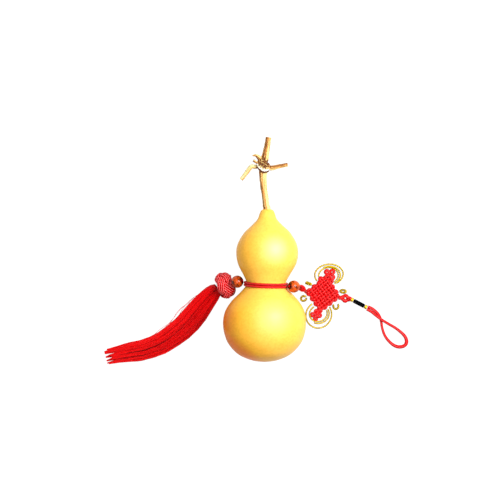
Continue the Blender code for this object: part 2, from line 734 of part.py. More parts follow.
def weave_body():
    """The woven rhombus as one closed skin of rounded cord tops, lying over and under by turns."""
    steps = 3 * KNOT_CORDS
    bm = bmesh.new()
    skins = []
    for under in (0, 1):
        grid = []
        for c in range(steps + 1):
            grid.append([bm.verts.new(weave_grid_point(c, r, under)) for r in range(steps + 1)])
        skins.append(grid)
        for c in range(steps):
            for r in range(steps):
                bm.faces.new((grid[c][r], grid[c + 1][r], grid[c + 1][r + 1], grid[c][r + 1]))
    rim = [(k, 0) for k in range(steps)] + [(steps, k) for k in range(steps)]
    rim += [(k, steps) for k in range(steps, 0, -1)] + [(0, k) for k in range(steps, 0, -1)]
    top, low = skins
    for (c0, r0), (c1, r1) in zip(rim, rim[1:] + rim[:1]):
        bm.faces.new((top[c0][r0], top[c1][r1], low[c1][r1], low[c0][r0]))
    return mesh_of(bm)


def ear(index, turned, end):
    """The small loop that joins two neighbouring cords past the weave's edge."""
    first, second = (-1 + (2 * (index + k) + 1) / KNOT_CORDS for k in (0, 1))
    middle, half = (first + second) / 2, (second - first) / 2
    path = []
    for k in range(EAR_PIECES + 1):
        turn = math.pi * k / EAR_PIECES
        lane = middle - half * math.cos(turn)
        travel = end * (EAR_START + EAR_REACH * math.sin(turn))
        path.append(weave_point(lane, travel, 0) if turned else weave_point(travel, lane, 0))
    return path


def small_ring(centre, radius, cord_radius):
    """A ring of cord in the knot's plane, gently waved."""
    ring = []
    for j in range(CLOVER_RING_POINTS):
        around = math.tau * j / CLOVER_RING_POINTS
        x, y = centre[0] + radius * math.cos(around), centre[1] + radius * math.sin(around)
        ring.append(knot_place(x, y, CLOVER_RING_LIFT * math.sin(2 * around)))
    return tube(ring, cord_radius, 5, closed=True)


def clover(centre, turn_start, scale):
    """A small knot of four lobes that meet in the middle."""
    pieces = []
    for k in range(CLOVER_LOBES):
        turn = turn_start + math.tau * k / CLOVER_LOBES
        lobe = Vector(centre) + CLOVER_LOBE_OFFSET * scale * Vector((math.cos(turn), math.sin(turn)))
        pieces.append(small_ring(lobe, CLOVER_LOBE_RADIUS * scale, CLOVER_CORD_RADIUS * scale))
    return pieces


def neck(start, end):
    """The two side-by-side cords between the woven body and a small knot."""
    start, end = Vector(start), Vector(end)
    aside = (end - start).orthogonal().normalized() * NECK_SPREAD
    made = []
    for side in (-1, 1):
        path = [knot_place(*(start.lerp(end, share) + aside * side)) for share in (0, 0.5, 1)]
        made.append(tube(path, CLOVER_CORD_RADIUS * NECK_THINNING, 6))
    return made


def make_endless_knot():
    """The endless knot: two crossing sets of cords with ears round the edge, and two small knots."""
    pieces = [weave_body()]
    for turned in (0, 1):
        for end, first in ((-1, 0), (1, 1)):
            for index in range(first, KNOT_CORDS - 1, 2):
                pieces.append(tube(ear(index, turned, end), EAR_RADIUS, 5))
    pieces += [small_ring(spot, SHOULDER_RADIUS, EAR_RADIUS) for spot in SHOULDERS]
    across = Vector(KNOT_HALF_ACROSS)
    pieces += neck(across * NECK_ROOT, TOP_CLOVER[0]) + clover(*TOP_CLOVER)
    pieces += neck(across * -NECK_ROOT, BOTTOM_CLOVER[0]) + clover(*BOTTOM_CLOVER)
    return joined("endless_knot", pieces, cord_material())


def make_link_knot():
    """The small wrapped knot between the right bead and the endless knot, with its two cord ends."""
    end = Vector(LINK_KNOT_PATH[-1])
    tail = Vector(LINK_TAIL_END)
    aside = (tail - end).cross(Vector((0, 0, 1))).normalized() * LINK_SPREAD
    pieces = [tube(smooth_path(LINK_KNOT_PATH, 1.0), LINK_KNOT_RADII, 10, ribs=5, rib_depth=0.1)]
    for side in (-1, 1):
        path = [end.lerp(tail, share) + aside * side for share in (-0.2, 0.4, 1)]
        pieces.append(tube(path, LINK_DIAMETER / 2, 6))
    return joined("link_knot", pieces, cord_material())


def sleeve_axis():
    """The sleeve's two ends and its direction."""
    start, end = Vector((*SLEEVE_START, BAND_RADIUS)), Vector((*SLEEVE_END, BAND_RADIUS))
    return start, end, (end - start).normalized()


def make_eye_knot():
    """The open knot before the sleeve: two cords that part round a small eye and meet again."""
    along = Vector((math.cos(EYE_KNOT_LEAN), math.sin(EYE_KNOT_LEAN), 0))
    across = Vector((0, 0, 1)).cross(along)
    centre = Vector(EYE_KNOT_CENTRE)
    ring = []
    for k in range(EYE_RING_POINTS):
        turn = math.tau * k / EYE_RING_POINTS
        offset = along * EYE_KNOT_HALF_LENGTH * math.cos(turn) + across * EYE_KNOT_HALF_WIDTH * math.sin(turn)
        ring.append(centre + offset + Vector((0, 0, EYE_RING_LIFT * math.sin(2 * turn))))
    start, _, direction = sleeve_axis()
    end = start - direction * (BAND_LENGTH + 2 * GAP)
    tail = [centre + along * EYE_KNOT_HALF_LENGTH * 0.8, end - direction * 1.2, end]
    pieces = [tube(ring, EYE_KNOT_CORD_RADIUS, 8, closed=True)]
    pieces.append(tube(smooth_path(tail, 1.0), EYE_TAIL_RADIUS, 8))
    return joined("eye_knot", pieces, cord_material())


def gold_material():
    return material("gold_thread", GOLD, 0.3, 1.0)


def make_gold_arcs():
    """Rings of gold thread that stand out of the endless knot's upper and lower corners."""
    made = []
    for name, (x, y, radius_x, radius_y, start, end, lift) in GOLD_ARCS.items():
        steps = round((end - start) / GOLD_ARC_STEP)
        path = []
        for k in range(steps + 1):
            turn = math.radians(start + (end - start) * k / steps)
            path.append(knot_place(x + radius_x * math.cos(turn), y + radius_y * math.sin(turn), lift))
        made.append(finish_object(name, tube(path, GOLD_RADIUS, 5), gold_material(), 75))
    return made


def make_gold_curls():
    """Small loops of gold thread beside the knot's left and right corners."""
    made = []
    for name, (x, y) in GOLD_CURLS.items():
        outward = math.atan2(y, x)
        path = []
        for k in range(GOLD_CURL_PIECES + 1):
            share = k / GOLD_CURL_PIECES - 0.5
            turn = outward + GOLD_CURL_SWEEP * share
            reach_x, reach_y = GOLD_CURL_RADIUS * math.cos(turn), GOLD_CURL_RADIUS * math.sin(turn)
            path.append(knot_place(x + reach_x, y + reach_y, GOLD_CURL_RISE * share))
        made.append(finish_object(name, tube(path, GOLD_RADIUS, 5), gold_material(), 75))
    return made


def round_bar(name, start, direction, length, radius, look, edge=0.0, sides=16):
    """A short straight bar, with rounded rims if asked."""
    sections = [(radius, 0.0), (radius, length)]
    if edge:
        sections = [(radius - edge, 0.0), (radius, edge), (radius, length - edge), (radius - edge, length)]
    rings = [ring_round(start + direction * at, direction, reach, sides) for reach, at in sections]
    return finish_object(name, loft(rings), look)


def make_sleeve():
    """The black sleeve that grips the strap's two ends, with a gold band at each end."""
    start, end, direction = sleeve_axis()
    reach = direction * (BAND_LENGTH + GAP)
    black = material("sleeve_rubber", SLEEVE_BLACK, 0.4)
    gold = gold_material()
    round_bar("sleeve", start, direction, (end - start).length, SLEEVE_RADIUS, black)
    round_bar("gold_band_near", start - reach, direction, BAND_LENGTH, BAND_RADIUS, gold, BAND_EDGE)
    round_bar("gold_band_far", end + direction * GAP, direction, BAND_LENGTH, BAND_RADIUS, gold, BAND_EDGE)


def make_strap_loop():
    """The free loop of cord at the far end, crossing itself once and lying on the floor."""
    curve = bpy.data.curves.new("strap_loop", "CURVE")
    curve.dimensions = "3D"
    curve.bevel_depth = STRAP_DIAMETER / 2 * MM
    curve.bevel_resolution = 2
    curve.use_fill_caps = True
    path = smooth_path(STRAP_ROUTE, STRAP_POINT_SPACING)
    spline = curve.splines.new("POLY")
    spline.points.add(len(path) - 1)
    for point, place in zip(spline.points, path):
        point.co = (*(place * MM), 1)
    curve.materials.append(cord_material())
    obj = bpy.data.objects.new("strap_loop", curve)
    bpy.context.scene.collection.objects.link(obj)
    return obj


def main():
    clear_scene()
    lay = laid_down()
    make_gourd(lay)
    make_stem(lay)
    make_waist_cord(lay)
    make_bead("bead_left", LEFT_BEAD_CENTRE, LEFT_BEAD_AXIS)
    make_bead("bead_right", RIGHT_BEAD_CENTRE, RIGHT_BEAD_AXIS)
    make_link("link_left", LEFT_BEAD_CENTRE, LEFT_BEAD_AXIS)
    make_link("link_right", RIGHT_BEAD_CENTRE, RIGHT_BEAD_AXIS)
    make_ball_knot()
    make_tassel()
    make_link_knot()
    make_endless_knot()
    make_eye_knot()
    make_gold_arcs()
    make_gold_curls()
    make_sleeve()
    make_strap_loop()


main()
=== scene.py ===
"""Dresses the dried gourd ornament: a polished double gourd on its dried stem, and a red cord
ornament with wooden beads, a ball knot and tassel, an endless knot with gold thread and a strap.

Lengths are in metres in the scene and in millimetres in the tables below. The origin is the spot
that the large bulb rests on, +Z is up and +Y runs towards the stem.
"""

import math
import random

import bmesh
import bpy
from bpy.props import FloatProperty, FloatVectorProperty, IntProperty, PointerProperty
from mathutils import Matrix, Vector, noise
from mathutils.geometry import interpolate_bezier


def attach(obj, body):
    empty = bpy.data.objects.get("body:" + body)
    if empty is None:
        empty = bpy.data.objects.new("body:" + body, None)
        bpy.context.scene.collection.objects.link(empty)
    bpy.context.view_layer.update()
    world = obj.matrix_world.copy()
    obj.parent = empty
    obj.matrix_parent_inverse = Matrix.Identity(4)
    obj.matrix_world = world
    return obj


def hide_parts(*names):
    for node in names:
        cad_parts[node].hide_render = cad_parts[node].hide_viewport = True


bl_info = {
    "name": "Dried gourd ornament",
    "version": (1, 0, 0),
    "blender": (4, 5, 0),
    "location": "View3D > Sidebar > Gourd",
    "description": "A polished dried gourd with a knotted red cord ornament, a tassel and gold thread",
    "category": "Add Mesh",
}

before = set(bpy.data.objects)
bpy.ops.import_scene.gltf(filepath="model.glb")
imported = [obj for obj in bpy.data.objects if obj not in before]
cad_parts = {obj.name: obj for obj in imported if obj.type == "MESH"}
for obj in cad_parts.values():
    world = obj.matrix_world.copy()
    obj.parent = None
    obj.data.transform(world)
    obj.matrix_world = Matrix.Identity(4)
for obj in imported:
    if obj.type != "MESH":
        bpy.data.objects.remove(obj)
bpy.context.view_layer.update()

MM = 0.001

# Gourd: (distance from the blossom end, radius) along its own axis
GOURD_PROFILE = (
    (0.0, 0.0),
    (1.1, 8.2),
    (5.0, 17.2),
    (11.8, 23.8),
    (19.0, 26.8),
    (26.5, 27.5),
    (34.0, 26.2),
    (40.5, 22.2),
    (46.5, 16.7),
    (51.8, 13.0),
    (57.0, 14.9),
    (64.5, 19.1),
    (71.8, 20.6),
    (79.0, 19.4),
    (86.0, 15.2),
    (91.2, 9.8),
    (95.0, 6.4),
    (99.0, 5.0),
    (101.2, 3.5),
    (101.8, 0.0),
)
PROFILE_STEP = 1.1
GOURD_SIDES = 120
LARGE_BULB_AT = 26.5
AXIS_LEAN = 1.8
LEAN_LENGTH = 45.0
REST_TILT = math.radians(8.567)  # with both bulbs on the floor
REST_PLACE = (0.0, -26.2043, 31.0404)
PAINTED_HIGHLIGHT_SPOTS = (((7.0, 50.9, 38.0), 13.0, 0.58), ((6.3, 7.5, 51.7), 17.0, 0.34))  # middle, reach and strength of each painted highlight

# Stem: paths in the gourd's own frame (sideways, along, outwards), radii, ribs and their depth
STEM_LIMBS = {
    "stalk": (((1.7, 101.0, 0.0), (0.7, 108.0, 0.3), (-0.5, 116.0, 0.4), (-1.0, 124.0, 0.1), (-0.7, 131.0, 0.0)),
              (2.3, 2.0, 1.9, 2.0, 2.3, 2.9), 5, 0.16),
    "vine": (((-0.9, 130.2, 0.0), (0.3, 135.5, 0.3), (1.5, 142.0, 0.6), (2.7, 149.3, 0.4)),
             (2.7, 2.4, 2.0, 1.75, 1.6), 5, 0.15),
    "node": (((-4.2, 133.6, -0.2), (-2.2, 131.6, 0.4), (0.6, 130.0, 0.6), (3.2, 129.8, 0.2)),
             (1.7, 3.2, 3.3, 2.0), 3, 0.1),
    "collar": (((-5.0, 132.4, 1.4), (-3.3, 129.4, 2.7), (-0.2, 127.6, 3.1), (2.9, 128.2, 2.0)),
               (0.5, 0.8, 0.9, 0.6), 2, 0.2),
    # The dark limb under the collar stands for the shadow in the crevice below it: painted shade.
    "shadow_crevice": (((-4.9, 131.2, 0.8), (-3.2, 128.2, 2.1), (-0.2, 126.3, 2.3), (2.7, 126.9, 1.5)),
             (0.6, 1.1, 1.1, 0.6), 3, 0.2),
    "right_twig": (((1.6, 129.2, 0.2), (5.2, 128.9, 0.4), (10.0, 130.1, 0.9), (15.3, 131.1, 1.6)),
                   (1.7, 1.4, 1.2, 1.2), 4, 0.12),
    "left_twig": (((-2.6, 130.6, -0.8), (-6.0, 129.6, -0.9), (-8.8, 129.7, -0.8), (-11.6, 126.2, -1.4),
                   (-15.4, 121.1, -2.2)),
                  (1.5, 1.2, 1.35, 1.25, 1.2), 4, 0.12),
    "horn": (((-1.8, 133.2, 0.8), (-3.6, 135.6, 1.6), (-5.6, 137.2, 2.0), (-8.0, 137.1, 2.2)),
             (2.1, 1.5, 1.0, 0.4), 3, 0.1),
    "stub": (((-3.0, 131.4, 1.0), (-5.4, 132.6, 2.2), (-7.3, 133.9, 3.0)), (1.1, 0.7, 0.85), 3, 0.1),
}
NODE_AT = (-0.8, 131.0, 1.0)  # middle of the joint between stalk and vine
NODE_REACH = 5.5

# Cord round the waist
WAIST_TURNS_AT = (50.85, 52.45)
WAIST_DIP = 0.6
WAIST_ROLL = 0.5
WAIST_STAND_OFF = 0.85
WAIST_POINTS = 120

# Beads and their cords
BEADS = {
    "left": ((-18.1, 26.0, 19.9), (-0.85, -0.3, -0.43)),
    "right": ((19.4, 24.9, 31.9), (0.82, -0.16, -0.55)),
}
BEAD_RADIUS = 4.1
BEAD_BORE = 1.45
LINK_SPREAD = 0.62
LINK_REACH = 4.6
LINK_BEND = 4.2

# Ball knot
BALL_CENTRE = (-26.0, 21.7, 9.0)
BALL_AXIS = (-0.8, -0.3, 0.02)
BALL_PHASE = math.radians(48)
BALL_ACROSS = 7.8
BALL_ALONG = 6.4
BALL_LEADS = 3
BALL_BIGHTS = 4
BALL_LATITUDE = math.radians(34)
BALL_LIFT = 0.72
BALL_STRANDS = 4
BALL_PITCH = 1.42
BALL_CORD_RADIUS = 0.66
BALL_STATIONS = 300

# Tassel: (x, y, half width, half thickness, height of its middle) from the knot to the tip
TASSEL_STATIONS = (
    (-31.0, 18.9, 3.8, 2.6, 6.6),
    (-33.8, 16.7, 5.5, 4.0, 5.6),
    (-36.4, 13.9, 6.2, 3.7, 5.0),
    (-41.6, 7.4, 7.4, 3.4, 3.6),
    (-46.9, 0.2, 8.2, 3.0, 3.0),
    (-53.0, -7.2, 8.1, 2.9, 2.9),
    (-60.8, -13.4, 7.7, 2.8, 2.8),
    (-69.4, -19.2, 7.4, 2.7, 2.7),
    (-80.2, -23.4, 7.0, 2.6, 2.6),
    (-89.7, -25.0, 7.0, 2.4, 2.4),
    (-97.3, -26.8, 6.6, 1.9, 1.9),
    (-106.0, -28.9, 6.4, 1.3, 1.3),
)

# Loose threads beside the tassel: where each leaves it and joins it again, and how far it bulges
STRAY_THREADS = ((0.27, 0.56, 0.2), (0.31, 0.52, 0.27), (0.24, 0.42, 0.12), (0.5, 0.66, 0.12))

# Endless knot: half diagonals of the woven rhombus, on a plane that slopes to the floor
KNOT_CENTRE = (39.2, 14.8, 4.4)
KNOT_SLOPE = math.radians(14)
KNOT_ALONG = (11.9, -2.1)
KNOT_ACROSS = (2.0, 12.2)
KNOT_CORDS = 8
KNOT_CORD_RADIUS = 0.97
WEAVE_RISE = 0.72
EAR_START = 0.88
EAR_REACH = 0.12
TOP_CLOVER = ((4.3, 13.0), math.radians(45), 1.0, 1.25)  # centre, turn, scale and half the neck
BOTTOM_CLOVER = ((-5.0, -14.0), math.radians(-8), 0.9, 0.85)
SHOULDERS = ((-1.7, 10.2), (5.2, 8.4))  # the two wider loops on either side of the top corner
SHOULDER_RADIUS = 1.05
CLOVER_LOBE = (  # reach, sideways and lift of one lobe's cord
    (0.8, -0.5, 0.5),
    (2.0, -1.05, 0.35),
    (3.2, -1.05, 0.1),
    (3.8, 0.0, 0.0),
    (3.2, 1.05, -0.1),
    (2.0, 1.05, -0.35),
    (0.8, 0.5, -0.5),
)
CLOVER_CORD_RADIUS = 0.98

# Small knots on either side of it
LINK_KNOT_PATH = ((23.6, 23.8, 28.3), (24.3, 22.6, 24.0), (25.5, 20.9, 19.0), (26.4, 19.8, 16.0))
LINK_TAIL_END = (28.1, 16.9, 9.8)
LINK_KNOT_NECK = (23.1, 24.2, 29.5)  # where its cord comes out of the bead
EYE_CENTRE = (54.0, 11.4, 1.55)
EYE_LEAN = math.radians(-8)
EYE_HALF_LENGTH = 2.05
EYE_HALF_WIDTH = 1.95

# Gold thread: centre x, y, radius x, y, start and end in degrees, lift, in the knot's plane
GOLD_ARCS = {
    "gold_arc_top_outer": (3.9, 13.0, 9.8, 7.1, -50, 206, 0.0),
    "gold_arc_top_middle": (3.6, 12.4, 7.9, 6.4, -54, 112, 0.95),
    "gold_arc_top_inner": (3.5, 12.3, 6.8, 5.6, -48, 178, 0.0),
    "gold_arc_bottom_outer": (-3.1, -14.0, 8.9, 8.9, 127, 388, 0.0),
    "gold_arc_bottom_middle": (-3.4, -13.1, 7.2, 6.5, 250, 380, 0.95),
    "gold_arc_bottom_inner": (-3.4, -13.1, 6.1, 5.4, 126, 376, 0.0),
}
ARC_TUCK = 6  # degrees by which each arc runs on into the knot
GOLD_CURLS = {  # centre x, y, half length, half width, turn and sweep of a small twisted loop
    "gold_curl_left_upper": (-10.5, 7.7, 2.3, 0.5, math.radians(-22), math.radians(280)),
    "gold_curl_left_lower": (-13.6, -2.4, 1.8, 1.6, math.radians(200), math.radians(330)),
    "gold_curl_right_upper": (13.6, 1.3, 2.0, 1.0, math.radians(-10), math.radians(340)),
    "gold_curl_right_lower": (8.7, -8.6, 2.0, 1.7, math.radians(-85), math.radians(250)),
}
CURL_STRAND = 0.4
CURL_TWISTS = 5

# Sleeve, bands and strap
SLEEVE_START = (59.5, 9.8, 1.5)
SLEEVE_END = (66.5, 6.1, 1.5)
BAND_LENGTH = 1.8
BAND_GAP = 0.3
STRAP_ROUTE = (
    (69.1, 5.6, 0.82),
    (71.9, 4.3, 0.82),
    (75.0, 1.7, 0.82),
    (77.0, -1.2, 0.82),
    (77.9, -4.6, 0.82),
    (78.5, -8.4, 0.82),
    (79.8, -12.7, 0.82),
    (81.8, -16.2, 0.82),
    (84.7, -19.3, 0.82),
    (87.8, -21.2, 0.82),
    (90.9, -21.6, 0.82),
    (93.7, -20.6, 0.82),
    (94.9, -18.4, 0.82),
    (94.3, -15.5, 0.82),
    (92.2, -12.7, 0.82),
    (88.0, -9.2, 0.9),
    (83.2, -6.2, 1.5),
    (79.4, -3.7, 2.5),
    (76.8, -1.9, 2.72),
    (74.3, 0.0, 2.3),
    (71.6, 2.1, 1.3),
    (68.35, 3.9, 0.82),
)
STRAP_WIDTHS = (1.25, 1.2, 1.1, 1.05, 1.15, 1.3, 1.5, 1.55, 1.35, 1.2, 1.15, 1.1, 1.2, 1.25)

# Camera: the photo's view, nearly from above, leaning towards the stem
CAMERA_LEAN = math.radians(10)
CAMERA_DISTANCE = 5.0
VIEW_CENTRE = (-0.00967, 0.04387, 0.0)
VIEW_WIDTH = 0.3333
SENSOR = 36.0


def linear(hex_colour):
    """A colour as Blender mixes it, from an sRGB hex value."""
    channels = [int(hex_colour[i : i + 2], 16) / 255 for i in (1, 3, 5)]
    return (*(c / 12.92 if c <= 0.04045 else ((c + 0.055) / 1.055) ** 2.4 for c in channels), 1.0)


def colour_setting(name, description, hex_colour):
    return FloatVectorProperty(
        name=name, description=description, subtype="COLOR", size=4, min=0.0, max=1.0, default=linear(hex_colour)
    )


def length_setting(name, description, millimetres):
    return FloatProperty(
        name=name, description=description, unit="LENGTH", precision=5, min=0.0, default=millimetres * MM
    )


class GourdSettings(bpy.types.PropertyGroup):
    """The gourd and its stem."""

    # The straw, golden and amber colours run from the lit side of the shell to its shaded side: the amber is painted
    # shade.
    skin_light: colour_setting("Straw side", "Skin on the paler side of the shell", "#F2BC4E")
    skin_gold: colour_setting("Golden middle", "Skin between the pale and the ripe side", "#F2B034")
    skin_amber: colour_setting("Amber side", "Skin on the riper side of the shell", "#F07C1A")
    # The rubbed crown colour is a painted highlight on top of both bulbs.
    skin_highlight: colour_setting("Rubbed crown", "Skin on top of both bulbs, worn paler", "#F6DCA0")
    skin_scar: colour_setting("Scar", "The dry scars at both ends", "#7A4A1C")
    stem_pale: colour_setting("Stem, pale", "Dry outer fibres in the light", "#D6C27C")
    stem_tan: colour_setting("Stem, tan", "The fibres' usual colour", "#BE7C3A")
    # The dark colour also paints the shade down the side of the stem turned away from the key light.
    stem_dark: colour_setting("Stem, dark", "Grooves and the side that stayed damp", "#5A3014")
    lumps: length_setting("Lumps", "How far the dried shell strays from a turned shape", 0.22)


class CordSettings(bpy.types.PropertyGroup):
    """The red cords."""

    strap_red: colour_setting("Cord red", "The cord of the strap, waist and endless knot", "#BC0509")
    ball_red: colour_setting("Ball knot red", "The finer cord of the ball knot", "#D80A12")
    waist_diameter: length_setting("Waist cord", "Diameter of the cord round the waist", 1.6)
    link_diameter: length_setting("Bead cord", "Diameter of the cord through the beads", 1.0)
    strap_diameter: length_setting("Strap", "Diameter of the strap's cord", 1.6)


class TasselSettings(bpy.types.PropertyGroup):
    """The tassel."""

    colour: colour_setting("Thread", "The tassel's rayon thread", "#CA0507")
    threads: IntProperty(name="Threads", description="How many threads the tassel shows", default=1500, min=50)
    clumps: IntProperty(name="Clumps", description="How many locks the threads gather in", default=34, min=1)
    diameter: length_setting("Thread size", "Diameter of one thread", 0.4)
    seed: IntProperty(name="Seed", description="Another number lays the threads another way", default=7)


class TrimSettings(bpy.types.PropertyGroup):
    """Beads, gold thread, sleeve and bands."""

    bead_dark: colour_setting("Bead, dark", "Dark grain of the wooden beads", "#5A1806")
    bead_light: colour_setting("Bead, light", "Light grain of the wooden beads", "#B2440C")
    gold: colour_setting("Gold thread", "Metallised thread round the knot", "#A68A0C")
    band: colour_setting("Bands", "Gilt bands at the ends of the sleeve", "#D9B42A")
    sleeve: colour_setting("Sleeve", "The black sleeve", "#040405")
    gold_diameter: length_setting("Gold size", "Diameter of the gold thread", 1.05)


# --- paths and cords ---------------------------------------------------------------------------


def smooth_path(points, spacing, cyclic=False):
    """Points about spacing apart on a smooth curve that passes through the given ones."""
    points = [Vector(p) for p in points]
    count = len(points)
    fine = []
    for i in range(count if cyclic else count - 1):
        start, end = points[i], points[(i + 1) % count]
        before = points[i - 1] if cyclic or i > 0 else start
        after = points[(i + 2) % count] if cyclic or i + 2 < count else end
        handles = (start + (end - before) / 6, end - (after - start) / 6)
        fine += interpolate_bezier(start, *handles, end, 17)[:-1]
    fine.append(points[0] if cyclic else points[-1])
    lengths = [0.0]
    for a, b in zip(fine, fine[1:]):
        lengths.append(lengths[-1] + (b - a).length)
    steps = max(3, round(lengths[-1] / spacing))
    path, at = [], 0
    for k in range(steps + 1):
        wanted = lengths[-1] * k / steps
        while at < len(fine) - 2 and lengths[at + 1] < wanted:
            at += 1
        span = max(lengths[at + 1] - lengths[at], 1e-9)
        path.append(fine[at].lerp(fine[at + 1], (wanted - lengths[at]) / span))
    return path[:-1] if cyclic else path


def between(values, share):
    """The value a share of the way along an evenly spaced list."""
    at = min(max(share, 0.0), 1.0) * (len(values) - 1)
    low = min(int(at), len(values) - 2)
    return values[low] + (values[low + 1] - values[low]) * (at - low)


def travel_frames(path, closed, up=None):
    """A matrix at each point, Z along the path, turned as little as can be from one to the next."""
    count = len(path)
    frames, axis, side = [], None, None
    for i, point in enumerate(path):
        ahead = path[(i + 1) % count] if closed or i < count - 1 else path[i]
        behind = path[i - 1] if closed or i > 0 else path[i]
        direction = (ahead - behind).normalized()
        if up is not None:
            side = (up[i] if isinstance(up, list) else up).cross(direction).normalized()
        elif axis is None:
            side = direction.orthogonal().normalized()
        else:
            side = axis.rotation_difference(direction) @ side
        axis = direction
        over = direction.cross(side)
        frames.append(Matrix((side, over, direction)).transposed().to_4x4())
        frames[-1].translation = point
    if closed and up is None:
        end_side = axis.rotation_difference((path[1] - path[-1]).normalized()) @ side
        start = frames[0].to_3x3()
        slip = math.atan2(end_side.dot(start.col[1]), end_side.dot(start.col[0]))
        frames = [f @ Matrix.Rotation(-slip * i / count, 4, "Z") for i, f in enumerate(frames)]
    return frames


def drawn_cord(path, radius, sides=8, closed=False, squash=1.0, up=None, shape=None):
    """A cord as a bmesh: a ring drawn along a path, in millimetres.

    Its UV map runs once round it in U, and in V by the same scale along it. radius is a number or
    a list spread along the path, and shape an added reach for each (turn, along, radius).
    """
    bm = bmesh.new()
    frames = travel_frames(path, closed, up)
    radii = radius if isinstance(radius, (tuple, list)) else (radius, radius)
    along = [0.0]
    for a, b in zip(path, path[1:] + path[:1]):
        along.append(along[-1] + (b - a).length)
    scales = [between(radii, i / max(len(path) - 1, 1)) for i in range(len(path))]
    frames = [f @ Matrix.Diagonal((s, s * squash, s, 1)) for f, s in zip(frames, scales)]
    place = {}
    ring = bmesh.ops.create_circle(bm, segments=sides, radius=1.0)["verts"]
    rim = list(bm.edges)
    first_rim, before = rim, Matrix.Identity(4)
    for i, here in enumerate(frames):
        if i:
            grown = bmesh.ops.extrude_edge_only(bm, edges=rim)["geom"]
            ring = [g for g in grown if isinstance(g, bmesh.types.BMVert)]
            fresh = set(ring)
            rim = [g for g in grown if isinstance(g, bmesh.types.BMEdge) and fresh.issuperset(g.verts)]
        bmesh.ops.transform(bm, matrix=here @ before.inverted(), verts=ring)
        before = here
        back = here.inverted()
        for vert in ring:
            local = back @ vert.co
            place[vert] = (i, round(math.atan2(local.y, local.x) / math.tau * sides) % sides)
    if closed:
        bmesh.ops.bridge_loops(bm, edges=first_rim + rim)
    uv = bm.loops.layers.uv.new("UVMap")
    girth = math.tau * sum(scales) / len(scales)
    for face in bm.faces:
        spots = [place[v] for v in face.verts]
        low, high = min(s[0] for s in spots), max(s[0] for s in spots)
        wraps_end = high - low > 1
        wraps_side = max(s[1] for s in spots) - min(s[1] for s in spots) > 1
        for loop in face.loops:
            i, j = place[loop.vert]
            i = len(path) if wraps_end and i == low else i
            j = sides if wraps_side and j == 0 else j
            loop[uv].uv = (j / sides, along[i] / girth)
    if not closed:
        for edges in (first_rim, rim):
            bmesh.ops.contextual_create(bm, geom=edges)
    if shape:
        for vert, (i, j) in place.items():
            turn = math.tau * j / sides
            vert.co += (vert.co - path[i]).normalized() * shape(turn, along[i], scales[i])
    return bm


def add_piece(name, parts, looks, body="root", smooth=True, stands_for=()):
    """One object from several bmeshes in millimetres. looks is a material, or one for each part."""
    mesh = bpy.data.meshes.new(name)
    whole = bmesh.new()
    each = looks if isinstance(looks, list) else [looks] * len(parts)
    kinds = list(dict.fromkeys(each))
    for part, look in zip(parts, each):
        for face in part.faces:
            face.smooth = smooth
            face.material_index = kinds.index(look)
        bmesh.ops.recalc_face_normals(part, faces=part.faces)
        part.to_mesh(mesh)
        part.free()
        whole.from_mesh(mesh)
    bmesh.ops.scale(whole, vec=(MM, MM, MM), verts=whole.verts)
    whole.to_mesh(mesh)
    whole.free()
    for look in kinds:
        mesh.materials.append(look)
    obj = bpy.data.objects.new(name, mesh)
    bpy.context.scene.collection.objects.link(obj)
    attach(obj, body)
    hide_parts(*stands_for)
    return obj


# --- materials ---------------------------------------------------------------------------------


def start_material(name):
    """A new material, its tree and its shader."""
    made = bpy.data.materials.new(name)
    made.use_nodes = True
    return made, made.node_tree, made.node_tree.nodes["Principled BSDF"]


def add(tree, kind, inputs=None, stops=None, **settings):
    """Adds a shader node: its settings, each input's value or the node or output that feeds it."""
    made = tree.nodes.new("ShaderNode" + kind)
    for name, value in settings.items():
        setattr(made, name, value)
    if stops:
        ramp = made.color_ramp
        ramp.elements[0].position, ramp.elements[0].color = stops[0]
        ramp.elements[1].position, ramp.elements[1].color = stops[-1]
        for position, colour in stops[1:-1]:
            ramp.elements.new(position).color = colour
    for key, value in (inputs or {}).items():
        if isinstance(value, bpy.types.Node):
            value = value.outputs[0]
        if isinstance(value, bpy.types.NodeSocket):
            tree.links.new(value, made.inputs[key])
        else:
            made.inputs[key].default_value = value
    return made


def set_shader(tree, shader, **values):
    """Sets the shader's inputs, or links what feeds them."""
    for key, value in values.items():
        socket = shader.inputs[key.replace("_", " ")]
        if isinstance(value, bpy.types.Node):
            value = value.outputs[0]
        if isinstance(value, bpy.types.NodeSocket):
            tree.links.new(value, socket)
        else:
            socket.default_value = value


def shaded(colour, factor):
    """A colour made darker or lighter, alpha kept."""
    return (*(min(1.0, c * factor) for c in colour[:3]), 1.0)


def paler(colour, share):
    """A colour moved towards white, alpha kept."""
    return (*(c + (1 - c) * share for c in colour[:3]), 1.0)


